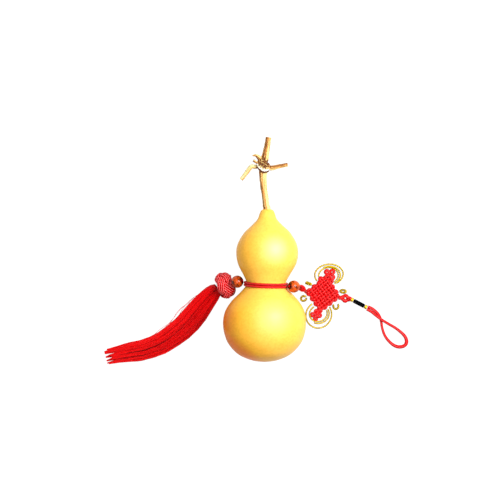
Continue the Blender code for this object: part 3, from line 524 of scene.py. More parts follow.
def waxed_gourd_skin(settings):
    """A dried gourd shell, scraped and hand polished with wax: a satin skin with faint clouds, turning amber
    towards the left and the bottom as painted shade, and with a painted highlight as a pale patch on
    the crown of each bulb."""
    made, tree, shader = start_material("waxed_gourd_skin")
    place = add(tree, "TexCoord").outputs["Object"]
    split = add(tree, "SeparateXYZ", {0: place})
    clouds = add(tree, "TexNoise", {"Vector": place, "Scale": 1 / 0.012, "Detail": 5.0, "Roughness": 0.6})
    specks = add(tree, "TexNoise", {"Vector": place, "Scale": 1 / 0.0016, "Detail": 3.0, "Roughness": 0.7})
    # Painted shade: the skin turns amber towards the left and towards the bottom, the sides turned away from the key
    # light. The clouds add a random tone of the shell's own.
    blossom_end = add(tree, "Math", {0: split.outputs["Y"], 1: 0.005}, operation="ADD")
    shadowed = add(tree, "Math", {0: blossom_end, 1: 0.0}, operation="MINIMUM")
    across = add(tree, "Math", {0: shadowed, 1: 1.0, 2: split.outputs["X"]}, operation="MULTIPLY_ADD")
    side = add(tree, "MapRange", {"Value": across, "From Min": -0.027, "From Max": 0.0})
    clouds_and_painted_shade = add(tree, "Math", {0: clouds, 1: 0.2, 2: side}, operation="MULTIPLY_ADD")
    base = add(
        tree,
        "ValToRGB",
        {0: clouds_and_painted_shade},
        stops=[(0.08, settings.skin_amber), (0.45, settings.skin_gold), (1.0, settings.skin_light)],
    )
    speckle = add(tree, "ValToRGB", {0: specks}, stops=[(0.3, linear("#F2EDE0")), (0.6, linear("#FFFFFF"))])
    skin = add(
        tree, "Mix", {0: 1.0, 6: base, 7: speckle}, data_type="RGBA", blend_type="MULTIPLY"
    )
    # Painted highlight: the skin is mixed towards a pale colour round a spot on the crown of each bulb.
    for spot, reach, wear in PAINTED_HIGHLIGHT_SPOTS:
        away = add(tree, "VectorMath", {0: place, 1: Vector(spot) * MM}, operation="DISTANCE")
        painted_highlight = add(
            tree,
            "MapRange",
            {"Value": away.outputs["Value"], "From Min": reach * MM, "From Max": 0.0, "To Max": wear},
            interpolation_type="SMOOTHSTEP",
        )
        skin = add(tree, "Mix", {0: painted_highlight, 6: skin.outputs[2], 7: settings.skin_highlight}, data_type="RGBA")
    blossom = add(tree, "VectorMath", {0: place, 1: Vector(REST_PLACE) * MM}, operation="DISTANCE")
    scarred = add(
        tree, "MapRange", {"Value": blossom.outputs["Value"], "From Min": 0.0034, "From Max": 0.0018}
    )
    skin = add(tree, "Mix", {0: scarred, 6: skin.outputs[2], 7: settings.skin_scar}, data_type="RGBA")
    bump = add(tree, "Bump", {"Height": specks, "Strength": 0.05, "Distance": 0.0002})
    gloss = add(tree, "MapRange", {"Value": clouds, "To Min": 0.3, "To Max": 0.4})
    set_shader(tree, shader, Base_Color=skin.outputs[2], Roughness=gloss, Normal=bump, Specular_IOR_Level=0.09)
    return made


def dry_peduncle(settings, name, bleaching):
    """A dried gourd stalk: coarse parallel fibres, dark in the grooves and in the cracks of the joint, with
    painted shade down one side of each limb, on the stalk the side turned away from the key light.
    bleaching shifts it all towards the pale end."""
    made, tree, shader = start_material(name)
    spot = add(tree, "SeparateXYZ", {0: add(tree, "UVMap")})
    turn = add(tree, "Math", {0: spot.outputs["X"], 1: math.tau}, operation="MULTIPLY")
    across = [add(tree, "Math", {0: turn}, operation=o) for o in ("COSINE", "SINE")]
    along = add(tree, "Math", {0: spot.outputs["Y"], 1: 0.35}, operation="MULTIPLY")
    fibre_place = add(tree, "CombineXYZ", {0: across[0], 1: across[1], 2: along})
    fibres = add(tree, "TexNoise", {"Vector": fibre_place, "Scale": 3.4, "Detail": 6.0, "Roughness": 0.65})
    sharper = add(tree, "MapRange", {"Value": fibres, "From Min": 0.3, "From Max": 0.7, "To Min": 0.15, "To Max": 0.75})
    # Painted shade: each limb darkens down one side, on the stalk the side turned away from the key light.
    unlit = add(tree, "MapRange", {"Value": across[0], "From Min": -0.28, "From Max": 0.05, "To Max": -0.27})
    fibres_and_unlit_side = add(tree, "Math", {0: unlit, 1: sharper}, operation="ADD")
    place = add(tree, "TexCoord").outputs["Object"]
    joint = add(tree, "VectorMath", {0: place, 1: laid_down() @ Vector(NODE_AT) * MM}, operation="DISTANCE")
    nearness = add(
        tree,
        "MapRange",
        {"Value": joint.outputs["Value"], "From Min": NODE_REACH * MM, "From Max": 0.6 * NODE_REACH * MM},
    )
    cracks = add(tree, "TexNoise", {"Vector": place, "Scale": 1 / 0.0011, "Detail": 3.0, "Roughness": 0.7})
    deep = add(tree, "MapRange", {"Value": cracks, "From Min": 0.46, "From Max": 0.56, "To Min": -0.9, "To Max": 0.05})
    cracked = add(tree, "Math", {0: nearness, 1: deep, 2: fibres_and_unlit_side}, operation="MULTIPLY_ADD")
    shifted = add(tree, "Math", {0: cracked, 1: bleaching}, operation="ADD")
    wood = add(
        tree,
        "ValToRGB",
        {0: shifted},
        stops=[
            (0.1, settings.stem_dark),
            (0.32, settings.stem_tan),
            (0.52, settings.stem_pale),
            (0.8, paler(settings.stem_pale, 0.08)),
            (1.0, paler(settings.stem_pale, 0.8)),
        ],
    )
    bump = add(tree, "Bump", {"Height": shifted, "Strength": 0.8, "Distance": 0.0004})
    set_shader(tree, shader, Base_Color=wood, Roughness=0.72, Normal=bump, Specular_IOR_Level=0.2)
    return made


def satin_cord(name, colour, plies, pitch, relief, shine, highlight_paleness, painted_shade_edge):
    """Braided nylon cord: fine slanting bundles, a painted highlight along the top of the cord and painted
    shade down its sides and underneath, with a satin shine. pitch is in turns of its girth, and the
    last two arguments set how pale the painted highlight is and where the painted shade ends."""
    made, tree, shader = start_material(name)
    spot = add(tree, "SeparateXYZ", {0: add(tree, "UVMap")})
    once = add(tree, "Math", {0: spot.outputs["X"], 1: math.tau}, operation="MULTIPLY")
    turn = add(tree, "Math", {0: once, 1: plies}, operation="MULTIPLY")
    waves = []
    for slant in (1, -1):
        run = add(
            tree,
            "Math",
            {0: spot.outputs["Y"], 1: slant * math.tau * plies / pitch, 2: turn},
            operation="MULTIPLY_ADD",
        )
        waves.append(add(tree, "Math", {0: run}, operation="SINE"))
    weave = add(tree, "Math", {0: waves[0], 1: waves[1]}, operation="MULTIPLY")
    lift = add(tree, "MapRange", {"Value": weave, "From Min": -1.0, "From Max": 1.0})
    # Painted light: the top of each cord is painted paler as a highlight, and its sides and underside darker as shade.
    crest = add(tree, "Math", {0: once}, operation="SINE")
    outer = add(tree, "MapRange", {"Value": crest, "From Min": -1.0, "From Max": 1.0, "To Max": 0.8})
    shade = add(tree, "Math", {0: lift, 1: 0.2, 2: outer}, operation="MULTIPLY_ADD")
    tint = add(
        tree,
        "ValToRGB",
        {0: shade},
        stops=[
            (painted_shade_edge, shaded(colour, 0.45)),
            (painted_shade_edge + 0.12, colour),
            (0.88, colour),
            (0.96, paler(colour, highlight_paleness)),
        ],
    )
    bump = add(tree, "Bump", {"Height": lift, "Strength": relief, "Distance": 0.0001})
    set_shader(tree, shader, Base_Color=tint, Roughness=0.36, Normal=bump, Specular_IOR_Level=shine)
    return made


def rayon_thread(settings):
    """Loose rayon floss: fine bright filaments, each with its own tone, and a few dark ones as painted shade between
    the locks.
    """
    made, tree, shader = start_material("rayon_thread")
    own = add(tree, "Attribute", attribute_name="thread_shade")
    place = add(tree, "TexCoord").outputs["Object"]
    streak = add(tree, "TexNoise", {"Vector": place, "Scale": 1 / 0.004, "Detail": 2.0})
    mixed = add(tree, "Math", {0: streak, 1: 0.35, 2: own.outputs["Fac"]}, operation="MULTIPLY_ADD")
    tint = add(
        tree,
        "ValToRGB",
        {0: mixed},
        stops=[(0.24, shaded(settings.colour, 0.35)), (0.42, settings.colour), (1.0, shaded(settings.colour, 1.12))],
    )
    set_shader(
        tree,
        shader,
        Base_Color=tint,
        Roughness=0.4,
        Specular_IOR_Level=0.12,
    )
    return made


def metallised_thread(settings):
    """Gilt foil wound round a core: a metal with slanting ridges, a painted highlight along its top and painted shade
    down its sides.
    """
    made, tree, shader = start_material("metallised_thread")
    spot = add(tree, "SeparateXYZ", {0: add(tree, "UVMap")})
    turn = add(tree, "Math", {0: spot.outputs["X"], 1: math.tau}, operation="MULTIPLY")
    run = add(tree, "Math", {0: spot.outputs["Y"], 1: math.tau * 4, 2: turn}, operation="MULTIPLY_ADD")
    wave = add(tree, "Math", {0: run}, operation="SINE")
    lift = add(tree, "MapRange", {"Value": wave, "From Min": -1.0, "From Max": 1.0})
    # Painted light: the top of the thread is painted brighter as a highlight, and its sides darker as shade.
    crest = add(tree, "Math", {0: turn}, operation="SINE")
    shade = add(tree, "Math", {0: lift, 1: 0.2, 2: crest}, operation="MULTIPLY_ADD")
    tint = add(
        tree,
        "ValToRGB",
        {0: shade},
        stops=[(0.55, shaded(settings.gold, 0.3)), (0.86, settings.gold), (1.0, shaded(settings.gold, 1.4))],
    )
    bump = add(tree, "Bump", {"Height": lift, "Strength": 0.6, "Distance": 0.00012})
    set_shader(tree, shader, Base_Color=tint, Metallic=0.8, Roughness=0.4, Normal=bump)
    return made


def gilt_band(settings):
    """Thin gilt brass: bright, with a little wear."""
    made, tree, shader = start_material("gilt_band")
    place = add(tree, "TexCoord").outputs["Object"]
    wear = add(tree, "TexNoise", {"Vector": place, "Scale": 1 / 0.0007, "Detail": 4.0})
    tint = add(
        tree, "ValToRGB", {0: wear}, stops=[(0.3, shaded(settings.band, 0.6)), (0.6, settings.band)]
    )
    gloss = add(tree, "MapRange", {"Value": wear, "To Min": 0.35, "To Max": 0.55})
    set_shader(tree, shader, Base_Color=tint, Metallic=1.0, Roughness=gloss)
    return made


def black_sleeve_rubber(settings):
    """Moulded black rubber with a dull shine."""
    made, tree, shader = start_material("black_sleeve_rubber")
    place = add(tree, "TexCoord").outputs["Object"]
    grain = add(tree, "TexNoise", {"Vector": place, "Scale": 1 / 0.0005, "Detail": 3.0})
    tint = add(
        tree, "ValToRGB", {0: grain}, stops=[(0.3, settings.sleeve), (0.7, shaded(settings.sleeve, 2.2))]
    )
    bump = add(tree, "Bump", {"Height": grain, "Strength": 0.2, "Distance": 0.0001})
    set_shader(tree, shader, Base_Color=tint, Roughness=0.6, Normal=bump, Specular_IOR_Level=0.0)
    return made


def lacquered_rosewood(settings):
    """Turned reddish wood under clear lacquer: soft dark grain, and painted shade round both ends of the bore."""
    made, tree, shader = start_material("lacquered_rosewood")
    place = add(tree, "TexCoord").outputs["Object"]
    slanted = add(tree, "Mapping", {"Vector": place, "Rotation": (0.5, 0.9, 0.2), "Scale": (1.0, 1.0, 0.25)})
    grain = add(tree, "TexNoise", {"Vector": slanted, "Scale": 1 / 0.0022, "Detail": 4.0})
    # Painted shade: the wood darkens towards both ends of the bore, where shade falls between bead and cord.
    rim = add(tree, "Attribute", attribute_name="bore_rim")
    painted_bore_shade = add(tree, "MapRange", {"Value": rim.outputs["Fac"], "From Min": 0.8, "From Max": 0.95, "To Max": -0.4})
    mixed = add(tree, "Math", {0: grain, 1: painted_bore_shade}, operation="ADD")
    tint = add(
        tree,
        "ValToRGB",
        {0: mixed},
        stops=[
            (0.1, shaded(settings.bead_dark, 0.25)),
            (0.36, settings.bead_dark),
            (0.5, settings.bead_light),
            (0.7, shaded(settings.bead_light, 1.5)),
        ],
    )
    set_shader(tree, shader, Base_Color=tint, Roughness=0.22, Specular_IOR_Level=0.3)
    return made


def strap_cord_look():
    cords = bpy.context.scene.gourd_cords
    return bpy.data.materials.get("braided_red_cord") or satin_cord(
        "braided_red_cord", cords.strap_red, 3, 0.7, 0.3, 0.08, 0.05, 0.45
    )


# --- the gourd ---------------------------------------------------------------------------------


def laid_down():
    """The matrix from the gourd's own frame (sideways, along, outwards) to the floor's."""
    return Matrix.Translation(REST_PLACE) @ Matrix.Rotation(-REST_TILT, 4, "X")


def axis_shift(along):
    share = min(max((along - LARGE_BULB_AT) / LEAN_LENGTH, 0.0), 1.0)
    return AXIS_LEAN * share * share * (3 - 2 * share)


def gourd_outline():
    return [(p.x, max(p.y, 0.0)) for p in smooth_path([(s, r, 0) for s, r in GOURD_PROFILE], PROFILE_STEP)]


def gourd_radius(along):
    for (s0, r0), (s1, r1) in zip(GOURD_PROFILE, GOURD_PROFILE[1:]):
        if s0 <= along <= s1:
            return r0 + (r1 - r0) * (along - s0) / (s1 - s0)
    return 0.0


class GOURD_OT_shell(bpy.types.Operator):
    """Make the polished gourd shell"""

    bl_idname = "gourd.shell"
    bl_label = "Gourd shell"

    def execute(self, context):
        settings = context.scene.gourd_body
        bm = bmesh.new()
        points = [bm.verts.new((r, s, 0)) for s, r in gourd_outline()]
        edges = [bm.edges.new(pair) for pair in zip(points, points[1:])]
        bmesh.ops.spin(
            bm,
            geom=points + edges,
            cent=(0, 0, 0),
            axis=(0, 1, 0),
            angle=math.tau,
            steps=GOURD_SIDES,
            use_merge=True,
        )
        bmesh.ops.remove_doubles(bm, verts=bm.verts, dist=0.01)
        lumps = settings.lumps / MM
        for vert in bm.verts:
            away = Vector((vert.co.x, 0, vert.co.z))
            if away.length > 0.1:
                stray = noise.noise(vert.co / 16) + 0.4 * noise.noise(vert.co / 6)
                vert.co += away.normalized() * lumps * stray * min(1.0, away.length / 8)
            vert.co.x += axis_shift(vert.co.y)
        bmesh.ops.transform(bm, matrix=laid_down(), verts=bm.verts)
        for vert in bm.verts:
            vert.co.z = max(vert.co.z, 0.0)
        add_piece(
            "gourd_shell", [bm], waxed_gourd_skin(settings), stands_for=("gourd",)
        )
        return {"FINISHED"}


class GOURD_OT_stem(bpy.types.Operator):
    """Make the dried stalk with its joint, vine and twigs"""

    bl_idname = "gourd.stem"
    bl_label = "Dried stem"

    def execute(self, context):
        lay = laid_down()
        settings = context.scene.gourd_body
        bark = dry_peduncle(settings, "dry_peduncle", 0.1)
        own_looks = {
            "collar": dry_peduncle(settings, "bleached_bark", 0.9),
            # The limb under the collar is painted near black as the shade in the crevice.
            "shadow_crevice": dry_peduncle(settings, "painted_shadow_bark", -0.9),
            "left_twig": dry_peduncle(settings, "pale_twig", 0.24),
            **dict.fromkeys(("vine", "right_twig", "horn", "stub"), dry_peduncle(settings, "tan_twig", 0.02)),
        }
        parts, looks = [], []
        for number, (limb, (points, radii, ribs, depth)) in enumerate(STEM_LIMBS.items()):
            path = [lay @ p for p in smooth_path(points, 0.45)]

            def ridges(turn, along, radius, ribs=ribs, depth=depth, number=number):
                rib = depth * radius * math.cos(ribs * turn + 0.06 * along)
                fibre = 0.16 * noise.noise(Vector((3 * math.cos(turn), 3 * math.sin(turn), along * 0.12 + 9 * number)))
                knobs = 0.3 * noise.noise(Vector((math.cos(turn), math.sin(turn), along * 0.5 + 5 * number)))
                return rib + fibre + knobs * min(radius / 3, 1.0)

            parts.append(drawn_cord(path, radii, 26, up=Vector((0, 0, 1)), shape=ridges))
            looks.append(own_looks.get(limb, bark))
        add_piece("dried_stem", parts, looks, stands_for=("stem",))
        return {"FINISHED"}


# --- cord round the waist, beads ---------------------------------------------------------------


class GOURD_OT_waist_cord(bpy.types.Operator):
    """Make the two turns of cord round the waist"""

    bl_idname = "gourd.waist_cord"
    bl_label = "Waist cord"

    def execute(self, context):
        lay = laid_down()
        radius = context.scene.gourd_cords.waist_diameter / MM / 2
        parts = []
        for along in WAIST_TURNS_AT:
            path = []
            for k in range(WAIST_POINTS):
                turn = math.tau * k / WAIST_POINTS
                here = along - WAIST_DIP * max(math.sin(turn), 0.0) - WAIST_ROLL * math.cos(turn)
                reach = gourd_radius(here) + WAIST_STAND_OFF
                path.append(
                    lay @ Vector((axis_shift(here) + reach * math.cos(turn), here, reach * math.sin(turn)))
                )
            middle = lay @ Vector((axis_shift(along), along, 0))
            outward = [(point - middle).normalized() for point in path]
            parts.append(drawn_cord(path, radius, 12, closed=True, up=outward))
        add_piece(
            "waist_cord",
            parts,
            strap_cord_look(),
            stands_for=("waist_cord_1", "waist_cord_2"),
        )
        return {"FINISHED"}


class GOURD_OT_beads(bpy.types.Operator):
    """Make the two wooden beads and the cords through them"""

    bl_idname = "gourd.beads"
    bl_label = "Beads"

    def execute(self, context):
        wood = lacquered_rosewood(context.scene.gourd_trim)
        link_radius = context.scene.gourd_cords.link_diameter / MM / 2
        half = math.sqrt(BEAD_RADIUS**2 - BEAD_BORE**2)
        start = math.atan2(BEAD_BORE, half)
        for side, (centre, axis) in BEADS.items():
            centre, axis = Vector(centre), Vector(axis).normalized()
            bm = bmesh.new()
            outline = [(BEAD_BORE, -half), (BEAD_BORE, half)]
            for k in range(1, 24):
                turn = start + (math.pi - 2 * start) * k / 24
                outline.append((BEAD_RADIUS * math.sin(turn), BEAD_RADIUS * math.cos(turn)))
            points = [bm.verts.new((x, 0, z)) for x, z in outline]
            edges = [bm.edges.new((points[i], points[(i + 1) % len(points)])) for i in range(len(points))]
            bmesh.ops.spin(
                bm,
                geom=points + edges,
                cent=(0, 0, 0),
                axis=(0, 0, 1),
                angle=math.tau,
                steps=48,
                use_merge=True,
            )
            bmesh.ops.remove_doubles(bm, verts=bm.verts, dist=0.01)
            rims = [
                e
                for e in bm.edges
                if all(abs(math.hypot(v.co.x, v.co.y) - BEAD_BORE) < 0.01 for v in e.verts)
                and abs(e.verts[0].co.z - e.verts[1].co.z) < 0.01
            ]
            bmesh.ops.bevel(
                bm, geom=rims, offset=0.25, segments=3, profile=0.5, affect="EDGES", material=-1
            )
            rim = bm.verts.layers.float.new("bore_rim")
            for vert in bm.verts:
                vert[rim] = abs(vert.co.z) / BEAD_RADIUS
            turn = axis.to_track_quat("Z", "Y").to_matrix().to_4x4()
            bmesh.ops.transform(bm, matrix=Matrix.Translation(centre) @ turn, verts=bm.verts)
            add_piece(f"wooden_bead_{side}", [bm], wood, stands_for=(f"bead_{side}",))
            apart = (Vector((0, 1, 0)) - axis * axis.y).normalized() * LINK_SPREAD
            leg = [centre + axis * reach for reach in (LINK_REACH, 0.0, 1.0 - LINK_BEND)]
            path = [p + apart for p in leg] + [centre - axis * LINK_BEND] + [p - apart for p in reversed(leg)]
            cord = drawn_cord(smooth_path(path, 0.3), link_radius, 12)
            add_piece(f"bead_cord_{side}", [cord], strap_cord_look(), stands_for=(f"link_{side}",))
        return {"FINISHED"}


# --- ball knot and tassel ----------------------------------------------------------------------


def ball_place(turn, sideways):
    """A point of the woven band, turn along its path and sideways across it, in the knot's frame."""

    def on_sphere(t):
        around = BALL_PHASE - BALL_LEADS * t
        latitude = BALL_LATITUDE * math.sin(BALL_BIGHTS * t)
        flat = math.cos(latitude)
        return Vector((flat * math.cos(around), flat * math.sin(around), math.sin(latitude)))

    here = on_sphere(turn)
    ahead = (on_sphere(turn + 0.01) - on_sphere(turn - 0.01)).normalized()
    across = here.cross(ahead).normalized()
    direction = (here + across * sideways / BALL_ACROSS).normalized()
    rise = BALL_LIFT * math.sin(2 * BALL_BIGHTS * turn)
    return Vector(
        (
            direction.x * (BALL_ACROSS + rise),
            direction.y * (BALL_ACROSS + rise),
            direction.z * (BALL_ALONG + rise),
        )
    )


class GOURD_OT_ball_knot(bpy.types.Operator):
    """Make the ball knot from bands of four parallel cords"""

    bl_idname = "gourd.ball_knot"
    bl_label = "Ball knot"

    def execute(self, context):
        axis = Vector(BALL_AXIS).normalized()
        side = Vector((0, 1, 0)).cross(axis).normalized()
        place = Matrix((side, axis.cross(side), axis)).transposed().to_4x4()
        place.translation = BALL_CENTRE
        look = satin_cord("ball_knot_cord", context.scene.gourd_cords.ball_red, 3, 0.6, 0.2, 0.1, 0.32, 0.62)
        core = bmesh.new()
        bmesh.ops.create_icosphere(core, subdivisions=4, radius=1.0)
        squash = Matrix.Diagonal((BALL_ACROSS - 1.2, BALL_ACROSS - 1.2, BALL_ALONG - 0.9, 1))
        bmesh.ops.transform(core, matrix=place @ squash, verts=core.verts)
        # The core's empty UV map puts it at the dark end of the cord's colour ramp: painted shade between the strands.
        core.loops.layers.uv.new("UVMap")
        parts = [core]
        for k in range(BALL_STRANDS):
            sideways = (k - (BALL_STRANDS - 1) / 2) * BALL_PITCH
            path = [
                place @ ball_place(math.tau * i / BALL_STATIONS, sideways) for i in range(BALL_STATIONS)
            ]
            outward = [(point - Vector(BALL_CENTRE)).normalized() for point in path]
            parts.append(drawn_cord(path, BALL_CORD_RADIUS, 8, closed=True, up=outward))
        add_piece("ball_knot_cords", parts, look, stands_for=("ball_knot",))
        return {"FINISHED"}


def tassel_place(share, side, height):
    """A point of the tassel: share of its length, and where it lies in its cross-section."""
    values = [between([Vector(s[:2]) for s in TASSEL_STATIONS], share + step) for step in (-0.02, 0.02)]
    forward = (values[1] - values[0]).normalized()
    x, y, half_width, half_thick, middle = (between([s[k] for s in TASSEL_STATIONS], share) for k in range(5))
    return Vector(
        (
            x - forward.y * side * half_width,
            y + forward.x * side * half_width,
            max(middle + height * half_thick, 0.17),
        )
    )


class GOURD_OT_tassel(bpy.types.Operator):
    """Make the tassel from its threads"""

    bl_idname = "gourd.tassel"
    bl_label = "Tassel"

    def execute(self, context):
        settings = context.scene.gourd_tassel
        look = rayon_thread(settings)
        draw = random.Random(settings.seed)
        locks = []
        for _ in range(settings.clumps):
            turn, reach = draw.uniform(0, math.tau), math.sqrt(draw.uniform(0.08, 1.0)) * 0.86
            locks.append((reach * math.cos(turn), reach * math.sin(turn), draw.uniform(0.9, 1.02), draw.random()))
        stations = 15
        curve = bpy.data.curves.new("tassel_threads", "CURVE")
        curve.dimensions = "3D"
        curve.bevel_depth = settings.diameter / 2
        curve.bevel_resolution = 0
        curve.use_fill_caps = True
        shades = []
        for from_share, to_share, bulge in STRAY_THREADS:
            spline = curve.splines.new("POLY")
            spline.points.add(stations - 1)
            for i, point in enumerate(spline.points):
                step = i / (stations - 1)
                side = -0.97 - bulge * math.sin(math.pi * step)
                share = from_share + (to_share - from_share) * step
                point.co = (*(tassel_place(share, side, -0.2) * MM), 1)
                point.radius = 0.6
            shades.append(0.5)
        for number in range(settings.threads):
            lock = locks[number % len(locks)]
            turn, reach = draw.uniform(0, math.tau), math.sqrt(draw.random())
            spread = (0.34 * reach * math.cos(turn), 0.34 * reach * math.sin(turn))
            end = lock[2] * draw.uniform(0.965, 1.0)
            drift = draw.uniform(0, 40)
            spline = curve.splines.new("POLY")
            spline.points.add(stations - 1)
            for i, point in enumerate(spline.points):
                share = end * i / (stations - 1)
                sway = noise.noise_vector(Vector((share * 3.0, lock[3] * 30, 0))) * 0.16 * share
                own = noise.noise_vector(Vector((share * 3.0, drift, 7))) * 0.07 * min(1.0, share * 2)
                taper = 1 - 0.75 * max(0.0, (i - 11) / 3)
                side = lock[0] + (spread[0] + own.x) * taper + sway.x
                height = lock[1] + (spread[1] + 0.2 * own.y) * taper + sway.y
                over = math.hypot(side, height)
                if over > 1.0:
                    side, height = side / over, height / over
                point.co = (*(tassel_place(share, side, height) * MM), 1)
            # One thread in twenty is dark: painted shade standing for the grooves between locks. The others differ in
            # tone at random by lock.
            shades.append(0.0 if draw.random() < 0.05 else 0.3 + 0.5 * lock[3] + 0.1 * draw.random())
        holder = bpy.data.objects.new("tassel_threads", curve)
        mesh = bpy.data.meshes.new_from_object(holder)
        bpy.data.objects.remove(holder)
        each = len(mesh.vertices) // len(shades)
        shade = mesh.attributes.new("thread_shade", "FLOAT", "POINT")
        shade.data.foreach_set("value", [s for s in shades for _ in range(each)])
        mesh.materials.clear()
        mesh.materials.append(look)
        mesh.shade_smooth()
        obj = bpy.data.objects.new("tassel_threads", mesh)
        context.scene.collection.objects.link(obj)
        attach(obj, "root")
        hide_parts("tassel")
        return {"FINISHED"}


# --- endless knot ------------------------------------------------------------------------------


def knot_place(x, y, lift=0.0):
    """A point of the endless knot's sloping plane, lift above it, on the floor's frame."""
    return Vector(KNOT_CENTRE) + Matrix.Rotation(KNOT_SLOPE, 3, "Y") @ Vector((x, y, lift))


def weave_place(u, v, lift):
    flat = Vector(KNOT_ALONG) * (u + v) / 2 + Vector(KNOT_ACROSS) * (u - v) / 2
    return knot_place(flat.x, flat.y, lift)


def serpentine(turned):
    """One cord that runs back and forth through the weave, with an ear at each turn."""
    lanes = [-1 + (2 * k + 1) / KNOT_CORDS for k in range(KNOT_CORDS)]
    half = 1 / KNOT_CORDS
    path = []
    for index, lane in enumerate(lanes):
        toward = -1 if index % 2 == 0 else 1
        for k in range(8 * KNOT_CORDS + 1):
            travel = (k / (8 * KNOT_CORDS) * 2 - 1) * EAR_START * toward
            beat = math.cos(math.pi * (travel - lanes[0]) / (2 * half))
            lift = WEAVE_RISE * math.tanh(2.2 * beat) * (1 if (index + turned) % 2 else -1)
            path.append(weave_place(lane, travel, lift) if turned else weave_place(travel, lane, lift))
        if index + 1 < KNOT_CORDS:
            for k in range(1, 8):
                turn = math.pi * k / 8
                reach = toward * (EAR_START + EAR_REACH * math.sin(turn))
                place = lane + half * (1 - math.cos(turn))
                path.append(weave_place(place, reach, 0) if turned else weave_place(reach, place, 0))
    return path


def clover_cord(centre, turn_start, scale):
    """A cord that makes four small lobes and crosses itself in the middle."""
    points = []
    for k in range(4):
        turn = turn_start + math.tau * k / 4
        out = Vector((math.cos(turn), math.sin(turn)))
        aside = Vector((-out.y, out.x))
        for reach, side, lift in CLOVER_LOBE:
            spot = Vector(centre) + (out * reach + aside * side) * scale
            points.append(knot_place(spot.x, spot.y, lift * scale))
    return smooth_path(points, 0.35, cyclic=True)


class GOURD_OT_endless_knot(bpy.types.Operator):
    """Make the endless knot with its ears and two clover knots"""

    bl_idname = "gourd.endless_knot"
    bl_label = "Endless knot"

    def execute(self, context):
        look = strap_cord_look()
        normal = Matrix.Rotation(KNOT_SLOPE, 3, "Y") @ Vector((0, 0, 1))
        parts = [
            drawn_cord(serpentine(turned), KNOT_CORD_RADIUS, 10, squash=0.92, up=normal) for turned in (0, 1)
        ]
        for x, y in SHOULDERS:
            turns = [math.tau * k / 24 for k in range(24)]
            ring = [
                knot_place(x + SHOULDER_RADIUS * math.cos(t), y + SHOULDER_RADIUS * math.sin(t), 0.3 * math.sin(2 * t))
                for t in turns
            ]
            parts.append(drawn_cord(ring, KNOT_CORD_RADIUS, 10, closed=True, up=normal))
        across = Vector(KNOT_ACROSS)
        for centre, turn, scale, neck in (TOP_CLOVER, BOTTOM_CLOVER):
            lobes = clover_cord(centre, turn, scale)
            parts.append(drawn_cord(lobes, CLOVER_CORD_RADIUS * scale, 10, closed=True, up=normal))
            start = across * math.copysign(0.86, centre[1])
            end = Vector(centre)
            aside = (end - start).orthogonal().normalized() * neck
            for side in (-1, 1):
                path = [knot_place(*(start.lerp(end, s) + aside * side), 0.2) for s in (0, 0.3, 0.7, 1)]
                parts.append(drawn_cord(smooth_path(path, 0.4), 0.95, 10, up=normal))
        add_piece("endless_knot_cords", parts, look, stands_for=("endless_knot",))
        return {"FINISHED"}


class GOURD_OT_small_knots(bpy.types.Operator):
    """Make the wrapped knot and the open eye knot"""

    bl_idname = "gourd.small_knots"
    bl_label = "Small knots"

    def execute(self, context):
        look = strap_cord_look()
        axis = smooth_path(LINK_KNOT_PATH, 0.12)
        frames = travel_frames(axis, False)
        wrap, outward = [], []
        for i, place in enumerate(frames):
            share = i / (len(frames) - 1)
            turn = math.tau * 4.5 * share
            reach = between((0.7, 1.45, 1.45, 0.6), share)
            wrap.append(place @ Vector((reach * math.cos(turn), reach * math.sin(turn), 0)))
            outward.append((wrap[-1] - axis[i]).normalized())
        neck_and_knot = smooth_path((LINK_KNOT_NECK, *LINK_KNOT_PATH), 0.5)
        core = drawn_cord(neck_and_knot, (0.9, 1.2, 1.5, 1.5, 0.8), 10)
        parts = [drawn_cord(wrap, 0.72, 8, up=outward), core]
        end, tail = Vector(LINK_KNOT_PATH[-1]), Vector(LINK_TAIL_END)
        aside = (tail - end).cross(Vector((0, 0, 1))).normalized() * LINK_SPREAD
        for side in (-1, 1):
            path = [end.lerp(tail, share) + aside * side for share in (-0.2, 0.4, 1)]
            parts.append(drawn_cord(smooth_path(path, 0.4), 0.6, 8, up=Vector((0, 0, 1))))
        add_piece("wrapped_knot", parts, look, stands_for=("link_knot",))

        along = Vector((math.cos(EYE_LEAN), math.sin(EYE_LEAN), 0))
        across = Vector((0, 0, 1)).cross(along)
        centre = Vector(EYE_CENTRE)
        start, end = Vector(SLEEVE_START), Vector(SLEEVE_END)
        direction = (end - start).normalized()
        stop = start - direction * (BAND_LENGTH + 2 * BAND_GAP)
        parts = []
        for side in (-1, 1):
            path = [
                centre - along * (EYE_HALF_LENGTH + 2.6) - across * 0.5 * side + Vector((0, 0, 0.9)),
                centre - along * EYE_HALF_LENGTH * 0.8 + across * 0.9 * side,
                centre + across * EYE_HALF_WIDTH * side,
                centre + along * EYE_HALF_LENGTH * 0.8 + across * 0.7 * side + Vector((0, 0, 0.3 * side)),
                centre + along * (EYE_HALF_LENGTH + 0.9) - across * 0.5 * side,
                stop,
            ]
            parts.append(drawn_cord(smooth_path(path, 0.3), 1.2, 10, up=Vector((0, 0, 1))))
        ring = []
        for k in range(40):
            turn = math.tau * k / 40
            spot = centre + along * (EYE_HALF_LENGTH + 0.4) + Vector((0, 0, 0.3))
            ring.append(spot + across * 1.3 * math.cos(turn) + Vector((0, 0, 1.0 * math.sin(turn))))
        parts.append(drawn_cord(ring, 0.6, 8, closed=True))
        add_piece("eye_knot_cords", parts, look, stands_for=("eye_knot",))
        return {"FINISHED"}


# --- gold thread, sleeve and strap -------------------------------------------------------------


def rested(point, half):
    """The point, raised where a cord of that half width would sink into the floor."""
    return Vector((point.x, point.y, max(point.z, half)))


